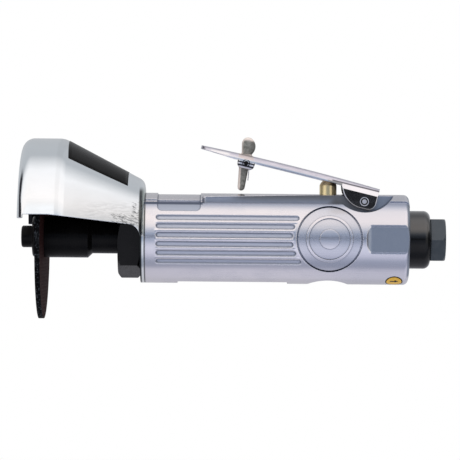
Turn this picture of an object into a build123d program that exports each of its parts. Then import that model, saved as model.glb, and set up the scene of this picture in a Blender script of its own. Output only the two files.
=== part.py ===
from build123d import *
import os
from collections import namedtuple
from math import atan2, ceil, cos, degrees, pi, radians, sin, sqrt, tan

# Air powered cut-off tool for a 75 mm wheel, in millimetres.
# The origin is the centre of the air inlet's mouth, on the spindle axis.
# X runs along the spindle: the wheel is at the -X end, the inlet looks to +X. Z is up.

# Barrel of the motor housing
BARREL_RADIUS = 20.7
BARREL_FRONT = -137.4
BARREL_REAR = -16.9
REAR_ROUNDING = 2.4

# Crowned rail along the barrel: wide blocks at both ends, a tapering ridge between them
RAIL_TOP = 20.5
RAIL_CROWN_RADIUS = 27.0
RAIL_SEAT = 19.0
RAIL_HALF_WIDTH = 12.2
RAIL_FRONT_BLOCK_END = -111.2
RIDGE_FRONT_HALF_WIDTH = 9.2
RIDGE_REAR_HALF_WIDTH = 5.2
RIDGE_TAPER_END = -57.5
LEDGE_HEIGHT = 15.8
LEDGE_END = -46.0
LEDGE_CORNER = 2.0
LEDGE_FOOT = 0.4

# Shallow panel that wraps over the front block
PANEL_FRONT = -131.6
PANEL_REAR = -111.9
PANEL_LOW_EDGE = 12.3
PANEL_DEPTH = 0.6
PANEL_CORNER = 2.0

# Six grooves on each side of the barrel, with their angles taken above the side
GROOVE_COUNT = 6
GROOVE_PITCH_ANGLE = 11.6
GROOVE_MID_ANGLE = -2.0
GROOVE_WIDTH = 2.6
GROOVE_FLOOR_WIDTH = 1.5
GROOVE_DEPTH = 0.8
GROOVE_FRONT = -132.2
GROOVE_END_CIRCLE = 16.5

# Round medallion on each side, behind the grooves
MEDALLION_X = -53.4
MEDALLION_RADIUS = 15.0
MEDALLION_RIM = 0.7
MEDALLION_RIM_DEPTH = 0.6
MEDALLION_FIELD_DEPTH = 0.35
MEDALLION_RING_RADIUS = 10.0
MEDALLION_RING_WIDTH = 1.2
MEDALLION_BOSS_RADIUS = 4.5

# Wrench flats, flat strip and finger dip of the barrel
FLATS_ACROSS = 39.2
FLATS_FRONT = -37.7
FLATS_COVE = 3.6
STRIP_FRONT = -122.4
STRIP_REAR = -72.1
STRIP_DEPTH = 0.8
DIP_WIDTH = 18.6
DIP_DEPTH = 1.8

# Bores of the housing
MOTOR_BORE = 14.5
MOTOR_BORE_END = -77.2
NUT_THREAD_RADIUS = 15.0
THREAD_PLAY = 0.05
PLENUM_END = -75.4
PLENUM_TOP = 3.0
EXHAUST_FLUTE_RADIUS = 2.2
EXHAUST_FLUTE_FRONT = -112.0
EXHAUST_HOLE_RADIUS = 1.6
EXHAUST_HOLE_CIRCLE = 10.0
EXHAUST_HOLE_ANGLES = (0, -26, 180, 206)
AIR_PASSAGE_RADIUS = 4.2
FEED_RADIUS = 2.4
FEED_HEIGHT = 9.6

# Throttle valve, upright in the barrel
VALVE_X = -53.7
STEM_RADIUS = 3.9
STEM_PLAY = 0.08
DOME_RADIUS = 4.1
LEVER_PLAY = 0.15
VALVE_SEAT_HEIGHT = 6.0
VALVE_CHAMBER_RADIUS = 6.5
VALVE_CHAMBER_FLOOR = -9.0
STEM_NECK_RADIUS = 2.2
STEM_NECK_TOP = 12.6
POPPET_RADIUS = 5.6
POPPET_THICKNESS = 2.2
SEAL_THICKNESS = 1.3
SEAL_GAP = 0.1
TAIL_RADIUS = 2.0
TAIL_END = -2.6
O_RING_SECTION = 1.4
O_RING_SIDE_PLAY = 0.1
O_RING_FLOOR_PLAY = 0.05
STEM_O_RING_HEIGHT = 15.6
PLUG_THREAD_RADIUS = 7.5
PLUG_BOTTOM = -18.3
PLUG_SOCKET_ACROSS = 6.0
PLUG_SOCKET_DEPTH = 4.0
PLUG_O_RING_HEIGHT = -11.2
VALVE_SPRING_WIRE = 0.9
VALVE_SPRING_RADIUS = 4.2
VALVE_SPRING_TURNS = 5

# Throttle lever, a folded channel that swings about a cross pin in the rail
PIVOT_X = -37.4
PIVOT_Z = 17.2
LEVER_TILT = 13.4
LEVER_TIP = 78.2
LEVER_HEEL = -5.6
LEVER_TOP = 7.25
LEVER_CROWN = 0.8
LEVER_BEND = 2.8
LEVER_EDGE = 5.0
LEVER_WIDTH = 16.0
LEVER_SHEET = 1.5
LEVER_FLANGE_END = 74.6
LEVER_FLANGE_TAPER = 62.0
LEVER_TIP_CORNER = 5.0
EAR_INNER = 7.4
EAR_FRONT = 11.6
EAR_TOP = 3.6
EAR_SHOULDER = 6.1
EAR_SHOULDER_INSET = 0.2
EAR_BOTTOM = -3.4
EAR_BOTTOM_FRONT = 1.5
EAR_FRONT_BEND = (7.6, -1.2)
EAR_CORNER = 3.6
EAR_EASE = 0.5
EAR_PLAY = 0.25
PIVOT_BOSS_RADIUS = 3.2
LEVER_PIN_RADIUS = 1.5
LEVER_PIN_HEAD_RADIUS = 2.2
LEVER_PIN_HEAD = 0.6
LEVER_PIN_RECESS_RADII = (1.05, 1.65)
LEVER_PIN_RECESS = 0.45
PIN_PLAY = 0.06
POCKET_RADIUS = 15.5
POCKET_HEIGHT = 27.7

# Safety catch on the lever: a paddle above, a prop below that stands over the rail
CATCH_ALONG = 56.5
CATCH_UP = 4.1
CATCH_LEAN = 9.5
CATCH_WIDTH = 5.0
CATCH_CORNER = 0.6
CATCH_ROUNDING = 1.2
CATCH_SLOT_WIDTH = 5.7
CATCH_SLOT_START = 42.0
CATCH_SLOT_END = 70.2
CATCH_PROP = 12.6
CATCH_PROP_SHOULDER = -2.5
CATCH_PROP_FRONT = 2.9
CATCH_PROP_BACK = -1.45
CATCH_TOE_RISE = 1.6
CATCH_TOE_FRONT = 2.0
CATCH_TOE_BACK = -1.3
CATCH_HUB_HEIGHT = 2.2
CATCH_HUB_FRONT = 4.2
CATCH_HUB_BACK = -3.4
CATCH_HUB_BEND = (-2.9, -0.6)
CATCH_NECK_HEIGHT = 4.6
CATCH_NECK_FRONT = 2.8
CATCH_NECK_BACK = -1.8
CATCH_PADDLE = 12.0
CATCH_PADDLE_FRONT = 3.4
CATCH_PADDLE_FRONT_HEIGHT = 8.4
CATCH_PADDLE_BACK_BEND = (-2.9, 8.6)
CATCH_PADDLE_BACK = (-0.9, 11.5)
CATCH_PADDLE_CROWN = 1.0
CATCH_PADDLE_NOSE = (2.7, 11.1)
CATCH_PADDLE_NOSE_BEND = 9.8
CATCH_PIN_RADIUS = 1.0
CATCH_PIN_PROUD = 0.4
CATCH_TAB_HALF_LENGTH = 4.0
CATCH_TAB_LOW = 1.6
CATCH_TAB_CORNER = 2.4
CATCH_TAB_EASE = 1.2
CATCH_SPRING_WIRE = 0.5
CATCH_SPRING_RADIUS = 1.5
CATCH_SPRING_PITCH = 0.72
CATCH_SPRING_TURNS = 3
CATCH_SPRING_START = 2.85
CATCH_SPRING_HOOK = (-2.15, -7.3)
CATCH_SPRING_HOOK_LENGTH = 2.4
CATCH_SPRING_LEG = 4.2

# Wheel guard, pressed from sheet
GUARD_SHEET = 1.8
GUARD_FRONT = -193.5
GUARD_RADIUS = 45.0
GUARD_CONE_START = -174.4
GUARD_BACK_RADIUS = 25.8
GUARD_LIP_RADIUS = 36.0
GUARD_FRONT_CORNER = 5.5
GUARD_SHOULDER = 9.0
GUARD_BACK_CORNER = 4.5
GUARD_TURN = -2.0
GUARD_EDGE_HEIGHT = 8.45
GUARD_EDGE_LEVEL_END = -179.5
GUARD_EDGE_LOW_HEIGHT = 5.0
GUARD_EDGE_LOW_X = -144.0
GUARD_LIP_DROP = 1.5
GUARD_LIP_DROP_END = -190.8

# Clamp nut
NUT_ACROSS = 33.0
NUT_FRONT = -149.5
NUT_TURN = 48.0
NUT_BORE = 8.3
NUT_CHAMFER = 1.4
NUT_BACK_EASE = 0.6
NUT_SHANK_END = -129.2

# Arbor, wheel, flange and bolt
ARBOR_RADIUS = 9.5
ARBOR_SHOULDER = -163.5
ARBOR_NECK_RADIUS = 7.5
ARBOR_NECK_END = -140.5
ARBOR_SEAT_RADIUS = 5.5
ARBOR_CHAMFER = 2.1
ARBOR_SOCKET_END = -145.0
ARBOR_NOSE_LENGTH = 2.8
WHEEL_RADIUS = 37.5
WHEEL_THICKNESS = 2.3
WHEEL_FRONT = -185.7
WHEEL_BORE = 4.8
FLANGE_THICKNESS = 3.1
FLANGE_CHAMFER = 0.8
BOLT_HEAD_RADIUS = 5.0
BOLT_HEAD_LENGTH = 5.2
BOLT_HEAD_ROUNDING = 1.0
BOLT_SHANK_RADIUS = 3.0
BOLT_SHANK_END = -171.5
BOLT_HOLE_END = -171.0
BOLT_SOCKET_ACROSS = 5.0
BOLT_SOCKET_DEPTH = 2.6
SEATING_PLAY = 0.05

# Vane motor
FRONT_PLATE_END = -120.2
LINER_END = -84.2
LINER_BORE = 11.7
LINER_OFFSET = 0.9
ROTOR_RADIUS = 10.6
ROTOR_END_PLAY = 0.15
ROTOR_SHAFT_FRONT = -143.5
ROTOR_SHAFT_REAR = -77.6
VANE_COUNT = 4
VANE_THICKNESS = 1.8
VANE_ROOT = 5.1
VANE_PLAY = 0.06
PORT_COUNT = 3
PORT_RADIUS = 1.7
PLATE_WEB = 2.0
SHAFT_HOLE_PLAY = 0.8
DOWEL_RADIUS = 1.0
DOWEL_CIRCLE = 12.9
DOWEL_REACH = 3.0

# Ball bearings, with radii of the bore, the outside and the balls
Bearing = namedtuple("Bearing", "bore outer width ball")
FRONT_BEARING = Bearing(bore=4.0, outer=11.0, width=7.0, ball=1.9)
REAR_BEARING = Bearing(bore=2.5, outer=8.0, width=5.0, ball=1.35)
RACE_SHARE = 0.42
BALL_COUNT = 7
BALL_PLAY = 0.06

# Air inlet bushing, its screen, exhaust deflector and muffler
INLET_ACROSS = 19.0
INLET_HEX_LENGTH = 6.8
INLET_HEX_CHAMFER = 1.4
INLET_MOUTH_EASE = 0.2
INLET_SHANK_RADIUS = 8.0
INLET_SHANK_END = -36.0
INLET_MOUTH_RADIUS = 5.7
INLET_MOUTH_DEPTH = 15.0
SCREEN_RADIUS = 5.2
SCREEN_THICKNESS = 0.6
SCREEN_HOLE_RADIUS = 0.55
SCREEN_HOLE_PITCH = 1.9
SCREEN_ROWS = 5
COLLAR_RADIUS = 13.25
COLLAR_FRONT = -16.6
COLLAR_REAR = -7.0
COLLAR_ROUNDING = 3.0
COLLAR_CHAMBER_RADIUS = 11.95
COLLAR_WEB = 2.5
COLLAR_PLAY = 0.08
COLLAR_WINDOWS = 5
COLLAR_WINDOW_WIDTH = 2.4
COLLAR_WINDOW_LENGTH = 3.6
COLLAR_WINDOW_STEP = 24.0
FELT_RADII = (8.4, 11.6)
FELT_FRONT = -16.3
FELT_REAR = -10.9

# Longer than any cut has to reach
BEYOND = 60.0

# Axes of the tilted lever and of its catch
LEVER_PLANE = Plane(
    origin=(PIVOT_X, 0, PIVOT_Z),
    x_dir=(-cos(radians(LEVER_TILT)), 0, sin(radians(LEVER_TILT))),
    z_dir=(0, 1, 0),
)
CATCH_ORIGIN = LEVER_PLANE.from_local_coords(Vector(CATCH_ALONG, CATCH_UP, 0))
CATCH_PLANE = Plane(
    origin=CATCH_ORIGIN,
    x_dir=(-cos(radians(CATCH_LEAN)), 0, sin(radians(CATCH_LEAN))),
    z_dir=(0, 1, 0),
)


def turned(*points):
    """Solid of revolution about the spindle axis from (x, radius) points."""
    return revolve(make_face(Polyline(*points, close=True)), Axis.X)


def ring(x_front, x_rear, outer, inner=0.0):
    """Plain ring or disc on the spindle axis."""
    return turned((x_front, inner), (x_rear, inner), (x_rear, outer), (x_front, outer))


def rod_along_x(x_front, x_rear, radius, y=0.0, z=0.0):
    """Round bar parallel to the spindle."""
    return Pos(0, y, z) * ring(x_front, x_rear, radius)


def upright(x, z_low, z_high, radius):
    """Round bar that stands on the spindle's plane of symmetry."""
    height = z_high - z_low
    return Pos(x, 0, z_low + height / 2) * Cylinder(radius, height)


def crosswise(x, z, radius, half_length):
    """Round bar that lies across the tool."""
    return Pos(x, 0, z) * Rot(90, 0, 0) * Cylinder(radius, 2 * half_length)


def side_slab(face, y_near, y_far, plane):
    """Solid from a side-view face, between two distances from the plane of symmetry."""
    return extrude(plane.offset(y_near) * face, y_far - y_near)


def box_between(x0, x1, y0, y1, z0, z1):
    """Box between two corners."""
    middle = Pos((x0 + x1) / 2, (y0 + y1) / 2, (z0 + z1) / 2)
    return middle * Box(abs(x1 - x0), abs(y1 - y0), abs(z1 - z0))


def hexagon_bar(x_front, x_rear, across, turn=0.0):
    """Hexagonal bar on the spindle axis, with a corner at the given angle from -Y."""
    face = RegularPolygon(across / sqrt(3), 6)
    placed = Plane(origin=(x_front, 0, 0), x_dir=(0, -1, 0), z_dir=(1, 0, 0)) * Rot(0, 0, turn) * face
    return extrude(placed, x_rear - x_front)


def upright_ring(z, radius, section):
    """Round-section seal about the upright valve axis."""
    return Pos(VALVE_X, 0, z) * Torus(radius, section / 2)


def side_mirror(solid):
    """The solid together with its mirror image across the plane of symmetry."""
    return solid + mirror(solid, Plane.XZ)


def rounded_bar(radius):
    """Round bar as long as the barrel, with its rear edge rounded."""
    bar = ring(BARREL_FRONT, BARREL_REAR, radius)
    return fillet(bar.edges().sort_by(Axis.X)[-1:], REAR_ROUNDING)


def rail_plan(inset):
    """Top view of one half of the rail."""
    wide = RAIL_HALF_WIDTH - inset
    return make_face(
        Polyline(
            (BARREL_FRONT, -wide),
            (RAIL_FRONT_BLOCK_END, -wide),
            (RAIL_FRONT_BLOCK_END, -RIDGE_FRONT_HALF_WIDTH),
            (RIDGE_TAPER_END, -RIDGE_REAR_HALF_WIDTH),
            (PIVOT_X, -RIDGE_REAR_HALF_WIDTH),
            (PIVOT_X, -wide),
            (BARREL_REAR, -wide),
            (BARREL_REAR, 0),
            (BARREL_FRONT, 0),
            close=True,
        )
    )


def rail_core(inset=0.0):
    """Barrel with its crowned rail, or the same form drawn in by the inset."""
    crown = Pos(0, 0, RAIL_TOP - RAIL_CROWN_RADIUS) * rounded_bar(RAIL_CROWN_RADIUS - inset)
    rail = extrude(rail_plan(inset), BEYOND) & crown
    seat = box_between(BARREL_FRONT, BARREL_REAR, -BEYOND, BEYOND, RAIL_SEAT - inset, BEYOND)
    return rounded_bar(BARREL_RADIUS - inset) - seat + side_mirror(rail)


def side_ledges():
    """Cuts that leave a level ledge on both sides of the tapering ridge."""
    front_inner = (RAIL_FRONT_BLOCK_END, -RIDGE_FRONT_HALF_WIDTH)
    plan = make_face(
        Polyline(
            (RAIL_FRONT_BLOCK_END, -BEYOND),
            front_inner,
            (RIDGE_TAPER_END, -RIDGE_REAR_HALF_WIDTH),
            (LEDGE_END, -RIDGE_REAR_HALF_WIDTH),
            (LEDGE_END, -BEYOND),
            close=True,
        )
    )
    corner = plan.vertices().sort_by_distance((*front_inner, 0))[0]
    cut = Pos(0, 0, LEDGE_HEIGHT) * extrude(fillet(corner, LEDGE_CORNER), BEYOND)
    floor = cut.faces().sort_by(Axis.Z)[0]
    foot = [edge for edge in floor.edges() if edge.center().Y > -BEYOND / 2]
    foot = [edge for edge in foot if edge.center().X < LEDGE_END]
    return side_mirror(fillet(foot, LEDGE_FOOT))


def skin_cut(face, depth):
    """Cut of even depth into both sides of the barrel, with the outline of a side-view face."""
    prism = extrude(Plane.XZ * face, BEYOND, both=True)
    return prism - ring(-3 * BEYOND, BEYOND, BARREL_RADIUS - depth)


def groove(angle):
    """Groove with sloping walls, cut square to the barrel's skin at an angle above the side."""
    outward = Vector(0, -cos(radians(angle)), sin(radians(angle)))
    rear = MEDALLION_X - sqrt(GROOVE_END_CIRCLE**2 - (BARREL_RADIUS * outward.Z) ** 2)
    length = rear - GROOVE_FRONT
    slope = GROOVE_WIDTH - GROOVE_FLOOR_WIDTH
    sections = []
    for side in (-1, 1):
        origin = Vector(GROOVE_FRONT + length / 2, 0, 0) + outward * (BARREL_RADIUS + side * GROOVE_DEPTH)
        outline = SlotOverall(length + side * slope, GROOVE_WIDTH + side * slope)
        sections.append(Plane(origin=origin, x_dir=(1, 0, 0), z_dir=outward) * outline)
    return side_mirror(loft(sections, ruled=True))


def groove_angles():
    """Angles of the grooves above the side, highest first."""
    first = GROOVE_MID_ANGLE + GROOVE_PITCH_ANGLE * (GROOVE_COUNT - 1) / 2
    return [first - GROOVE_PITCH_ANGLE * index for index in range(GROOVE_COUNT)]


def lever_pockets():
    """Round hollows beside the rail in which the lever's ears swing."""
    bar = crosswise(PIVOT_X, POCKET_HEIGHT, POCKET_RADIUS, BARREL_RADIUS)
    rail = 2 * RIDGE_REAR_HALF_WIDTH
    return bar - Pos(PIVOT_X, 0, POCKET_HEIGHT) * Box(4 * POCKET_RADIUS, rail, 4 * POCKET_RADIUS)


def medallion_cuts():
    """Sunk field with a deeper rim and a plain ring and boss left standing."""
    centre = Pos(MEDALLION_X, 0)
    rim = Circle(MEDALLION_RADIUS) - Circle(MEDALLION_RADIUS - MEDALLION_RIM)
    ring_inner = MEDALLION_RING_RADIUS - MEDALLION_RING_WIDTH / 2
    ring_outer = MEDALLION_RING_RADIUS + MEDALLION_RING_WIDTH / 2
    outer_field = Circle(MEDALLION_RADIUS - MEDALLION_RIM) - Circle(ring_outer)
    inner_field = Circle(ring_inner) - Circle(MEDALLION_BOSS_RADIUS)
    return [
        skin_cut(centre * rim, MEDALLION_RIM_DEPTH),
        skin_cut(centre * outer_field, MEDALLION_FIELD_DEPTH),
        skin_cut(centre * inner_field, MEDALLION_FIELD_DEPTH),
    ]


def front_panel():
    """Shallow sunk panel that wraps over the front block and down both sides."""
    length = PANEL_REAR - PANEL_FRONT
    height = BEYOND - PANEL_LOW_EDGE
    outline = Rectangle(length, height)
    outline = fillet(outline.vertices().sort_by(Axis.Y)[:2], PANEL_CORNER)
    placed = Pos((PANEL_FRONT + PANEL_REAR) / 2, PANEL_LOW_EDGE + height / 2) * outline
    return extrude(Plane.XZ * placed, BEYOND, both=True) - rail_core(PANEL_DEPTH)


def barrel_flats():
    """Wrench flats on both sides, run out by a round cutter, and the flat strip along the underside."""
    reach = FLATS_ACROSS / 2
    flat = box_between(FLATS_FRONT, 0, reach, BEYOND, -BEYOND, RAIL_TOP - RAIL_HALF_WIDTH)
    cutter_corner = flat.edges().filter_by(Axis.Z).group_by(Axis.X)[0].sort_by(Axis.Y)[0]
    flat = fillet(cutter_corner, FLATS_COVE)
    strip_top = -BARREL_RADIUS + STRIP_DEPTH
    strip = box_between(STRIP_FRONT, STRIP_REAR, -BEYOND, BEYOND, -BEYOND, strip_top)
    return [side_mirror(flat), strip]


def finger_dip():
    """Shallow cross hollow in the underside, below the valve."""
    radius = (DIP_WIDTH**2 / 4 + DIP_DEPTH**2) / (2 * DIP_DEPTH)
    centre = -BARREL_RADIUS + DIP_DEPTH - radius
    return crosswise(VALVE_X, centre, radius, BEYOND)


def exhaust_holes(x_front, x_rear):
    """Long holes that lead the exhaust to the rear."""
    holes = []
    for angle in EXHAUST_HOLE_ANGLES:
        y = EXHAUST_HOLE_CIRCLE * cos(radians(angle))
        z = EXHAUST_HOLE_CIRCLE * sin(radians(angle))
        holes.append(rod_along_x(x_front, x_rear, EXHAUST_HOLE_RADIUS, y, z))
    return holes


def housing_bores():
    """Motor bore, threads, valve bore and air ways."""
    stem_bore = STEM_RADIUS + STEM_PLAY
    plenum = ring(MOTOR_BORE_END, PLENUM_END, MOTOR_BORE)
    plenum -= box_between(MOTOR_BORE_END, PLENUM_END, -BEYOND, BEYOND, PLENUM_TOP, BEYOND)
    flute = rod_along_x(EXHAUST_FLUTE_FRONT, PLENUM_END, EXHAUST_FLUTE_RADIUS, z=-MOTOR_BORE)
    bores = [
        ring(BARREL_FRONT, NUT_SHANK_END, NUT_THREAD_RADIUS + THREAD_PLAY),
        ring(NUT_SHANK_END, MOTOR_BORE_END, MOTOR_BORE),
        plenum,
        flute,
        upright(VALVE_X, VALVE_SEAT_HEIGHT, BEYOND, stem_bore),
        upright(VALVE_X, VALVE_CHAMBER_FLOOR, VALVE_SEAT_HEIGHT, VALVE_CHAMBER_RADIUS),
        upright(VALVE_X, -BEYOND, VALVE_CHAMBER_FLOOR, PLUG_THREAD_RADIUS + THREAD_PLAY),
        ring(INLET_SHANK_END, BARREL_REAR, INLET_SHANK_RADIUS + THREAD_PLAY),
        ring(VALVE_X, INLET_SHANK_END, AIR_PASSAGE_RADIUS),
        rod_along_x(MOTOR_BORE_END, VALVE_X, FEED_RADIUS, z=FEED_HEIGHT),
        crosswise(PIVOT_X, PIVOT_Z, LEVER_PIN_RADIUS, BARREL_RADIUS),
    ]
    return bores + exhaust_holes(MOTOR_BORE_END, BARREL_REAR)


def motor_housing():
    body = rail_core()
    body -= side_ledges()
    body -= front_panel()
    body -= lever_pockets()
    body -= barrel_flats()
    body -= finger_dip()
    body -= [groove(angle) for angle in groove_angles()]
    body -= medallion_cuts()
    body += crosswise(PIVOT_X, PIVOT_Z, PIVOT_BOSS_RADIUS, EAR_INNER - EAR_PLAY)
    body -= housing_bores()
    return body


def guard_profile():
    """Bent sheet section of the guard, in (x, radius)."""
    slope = Vector(GUARD_CONE_START - BARREL_FRONT, GUARD_RADIUS - GUARD_BACK_RADIUS).normalized()
    inward = Vector(-slope.Y, slope.X) * GUARD_SHEET
    back = BARREL_FRONT - GUARD_SHEET
    back_step = (back - BARREL_FRONT - inward.X) / slope.X
    back_inner = GUARD_BACK_RADIUS + inward.Y + slope.Y * back_step
    drum_inner = GUARD_RADIUS - GUARD_SHEET
    drum_step = (drum_inner - GUARD_RADIUS - inward.Y) / slope.Y
    cone_inner = GUARD_CONE_START + inward.X + slope.X * drum_step
    hole = NUT_THREAD_RADIUS + THREAD_PLAY
    radii = (GUARD_BACK_CORNER, GUARD_SHOULDER, GUARD_FRONT_CORNER)
    outside = FilletPolyline(
        (BARREL_FRONT, hole),
        (BARREL_FRONT, GUARD_BACK_RADIUS),
        (GUARD_CONE_START, GUARD_RADIUS),
        (GUARD_FRONT, GUARD_RADIUS),
        (GUARD_FRONT, GUARD_LIP_RADIUS),
        radius=radii,
    )
    inside = FilletPolyline(
        (back, hole),
        (back, back_inner),
        (cone_inner, drum_inner),
        (GUARD_FRONT + GUARD_SHEET, drum_inner),
        (GUARD_FRONT + GUARD_SHEET, GUARD_LIP_RADIUS),
        radius=[radius - GUARD_SHEET for radius in radii],
    )
    hole_edge = Line((BARREL_FRONT, hole), (back, hole))
    lip_edge = Line((GUARD_FRONT, GUARD_LIP_RADIUS), (GUARD_FRONT + GUARD_SHEET, GUARD_LIP_RADIUS))
    return make_face([outside, inside, hole_edge, lip_edge])


def guard_cover():
    """Side view of what the guard keeps: everything above its lower edge."""
    back = BARREL_FRONT - GUARD_SHEET
    edge_slope = Vector(
        GUARD_EDGE_LOW_X - GUARD_EDGE_LEVEL_END, GUARD_EDGE_LOW_HEIGHT - GUARD_EDGE_HEIGHT
    )
    edge = Polyline(
        (GUARD_FRONT - GUARD_SHEET, GUARD_EDGE_HEIGHT - GUARD_LIP_DROP),
        (GUARD_LIP_DROP_END, GUARD_EDGE_HEIGHT - GUARD_LIP_DROP),
        (GUARD_LIP_DROP_END, GUARD_EDGE_HEIGHT),
        (GUARD_EDGE_LEVEL_END, GUARD_EDGE_HEIGHT),
        (GUARD_EDGE_LOW_X, GUARD_EDGE_LOW_HEIGHT),
    )
    sweep_down = TangentArc((GUARD_EDGE_LOW_X, GUARD_EDGE_LOW_HEIGHT), (back, 0), tangent=edge_slope)
    rest = Polyline(
        (back, 0),
        (BARREL_FRONT, 0),
        (BARREL_FRONT, BEYOND),
        (GUARD_FRONT - GUARD_SHEET, BEYOND),
        (GUARD_FRONT - GUARD_SHEET, GUARD_EDGE_HEIGHT - GUARD_LIP_DROP),
    )
    return make_face([edge, sweep_down, rest])


def wheel_guard():
    shell = revolve(guard_profile(), Axis.X)
    cover = extrude(Plane.XZ * guard_cover(), BEYOND, both=True)
    back = BARREL_FRONT - GUARD_SHEET
    flange = ring(back, BARREL_FRONT, BARREL_RADIUS, NUT_THREAD_RADIUS + THREAD_PLAY)
    return Rot(GUARD_TURN, 0, 0) * ((shell & cover) + flange)


def clamp_nut():
    back = BARREL_FRONT - GUARD_SHEET
    corner = NUT_ACROSS / sqrt(3)
    rounding = turned(
        (NUT_FRONT, 0),
        (back, 0),
        (back, NUT_ACROSS / 2 + NUT_BACK_EASE),
        (back - NUT_CHAMFER, corner),
        (NUT_FRONT + NUT_CHAMFER, corner),
        (NUT_FRONT, NUT_ACROSS / 2),
    )
    nut = hexagon_bar(NUT_FRONT, back, NUT_ACROSS, 90 - NUT_TURN) & rounding
    nut += ring(back, NUT_SHANK_END, NUT_THREAD_RADIUS)
    return nut - ring(NUT_FRONT, NUT_SHANK_END, NUT_BORE)


def arbor():
    wheel_seat = WHEEL_FRONT + WHEEL_THICKNESS
    nose = WHEEL_BORE - SEATING_PLAY
    body = turned(
        (wheel_seat - ARBOR_NOSE_LENGTH, 0),
        (wheel_seat - ARBOR_NOSE_LENGTH, nose),
        (wheel_seat, nose),
        (wheel_seat, ARBOR_RADIUS),
        (ARBOR_SHOULDER, ARBOR_RADIUS),
        (ARBOR_SHOULDER + ARBOR_CHAMFER, ARBOR_NECK_RADIUS),
        (ARBOR_NECK_END, ARBOR_NECK_RADIUS),
        (ARBOR_NECK_END, ARBOR_SEAT_RADIUS),
        (NUT_SHANK_END, ARBOR_SEAT_RADIUS),
        (NUT_SHANK_END, 0),
    )
    body -= ring(WHEEL_FRONT - ARBOR_NOSE_LENGTH, BOLT_HOLE_END, BOLT_SHANK_RADIUS + SEATING_PLAY)
    return body - ring(ARBOR_SOCKET_END, NUT_SHANK_END, FRONT_BEARING.bore + SEATING_PLAY)


def cutting_wheel():
    return ring(WHEEL_FRONT, WHEEL_FRONT + WHEEL_THICKNESS, WHEEL_RADIUS, WHEEL_BORE)


def outer_flange():
    front = WHEEL_FRONT - FLANGE_THICKNESS
    recess = WHEEL_FRONT + WHEEL_THICKNESS - ARBOR_NOSE_LENGTH - 4 * SEATING_PLAY
    bore = BOLT_SHANK_RADIUS + 2 * SEATING_PLAY
    return turned(
        (front, bore),
        (front, ARBOR_RADIUS - FLANGE_CHAMFER),
        (front + FLANGE_CHAMFER, ARBOR_RADIUS),
        (WHEEL_FRONT, ARBOR_RADIUS),
        (WHEEL_FRONT, WHEEL_BORE),
        (recess, WHEEL_BORE),
        (recess, bore),
    )


def wheel_bolt():
    seat = WHEEL_FRONT - FLANGE_THICKNESS
    front = seat - BOLT_HEAD_LENGTH
    head = ring(front, seat, BOLT_HEAD_RADIUS)
    head = fillet(head.edges().sort_by(Axis.X)[:1], BOLT_HEAD_ROUNDING)
    bolt = head + ring(seat, BOLT_SHANK_END, BOLT_SHANK_RADIUS)
    return bolt - hexagon_bar(front, front + BOLT_SOCKET_DEPTH, BOLT_SOCKET_ACROSS, 30)


def rotor():
    front = FRONT_PLATE_END + ROTOR_END_PLAY
    rear = LINER_END - ROTOR_END_PLAY
    barrel = ring(front, rear, ROTOR_RADIUS)
    slot = box_between(front, rear, -VANE_THICKNESS / 2, VANE_THICKNESS / 2, VANE_ROOT, BEYOND)
    barrel -= [Rot(360 / VANE_COUNT * index, 0, 0) * slot for index in range(VANE_COUNT)]
    barrel += ring(ROTOR_SHAFT_FRONT, front, FRONT_BEARING.bore)
    return barrel + ring(rear, ROTOR_SHAFT_REAR, REAR_BEARING.bore)


def rotor_vanes():
    """Four vanes, drawn in flush with the rotor."""
    front = FRONT_PLATE_END + ROTOR_END_PLAY
    rear = LINER_END - ROTOR_END_PLAY
    half = VANE_THICKNESS / 2 - VANE_PLAY
    tip = ROTOR_RADIUS - VANE_PLAY
    vane = box_between(front, rear, -half, half, VANE_ROOT + VANE_PLAY, tip)
    return [Rot(360 / VANE_COUNT * index, 0, 0) * vane for index in range(VANE_COUNT)]


def dowel_bar(radius):
    """Bar that keeps the liner and both end plates in line."""
    return rod_along_x(FRONT_PLATE_END - DOWEL_REACH, LINER_END + DOWEL_REACH, radius, z=DOWEL_CIRCLE)


def cylinder_liner():
    """Motor cylinder, whose bore lies off the spindle axis."""
    outer = ring(FRONT_PLATE_END, LINER_END, MOTOR_BORE - SEATING_PLAY)
    liner = outer - rod_along_x(FRONT_PLATE_END, LINER_END, LINER_BORE, z=-LINER_OFFSET)
    span = LINER_END - FRONT_PLATE_END
    for index in range(PORT_COUNT):
        x = FRONT_PLATE_END + span * (index + 1) / (PORT_COUNT + 1)
        liner -= upright(x, -BEYOND, -LINER_OFFSET, PORT_RADIUS)
    return liner - dowel_bar(DOWEL_RADIUS)


def end_plate(x_front, x_rear, bearing, pocket_front):
    """Plate that closes the cylinder and holds a bearing."""
    plate = ring(x_front, x_rear, MOTOR_BORE - SEATING_PLAY)
    plate -= ring(pocket_front, pocket_front + bearing.width, bearing.outer)
    plate -= ring(x_front, x_rear, bearing.bore + SHAFT_HOLE_PLAY)
    return plate - dowel_bar(DOWEL_RADIUS)


def front_end_plate():
    return end_plate(NUT_SHANK_END, FRONT_PLATE_END, FRONT_BEARING, NUT_SHANK_END)


def rear_end_plate():
    pocket = LINER_END + PLATE_WEB
    rear = pocket + REAR_BEARING.width
    plate = end_plate(LINER_END, rear, REAR_BEARING, pocket)
    return plate - rod_along_x(LINER_END, rear, FEED_RADIUS, z=FEED_HEIGHT)


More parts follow.
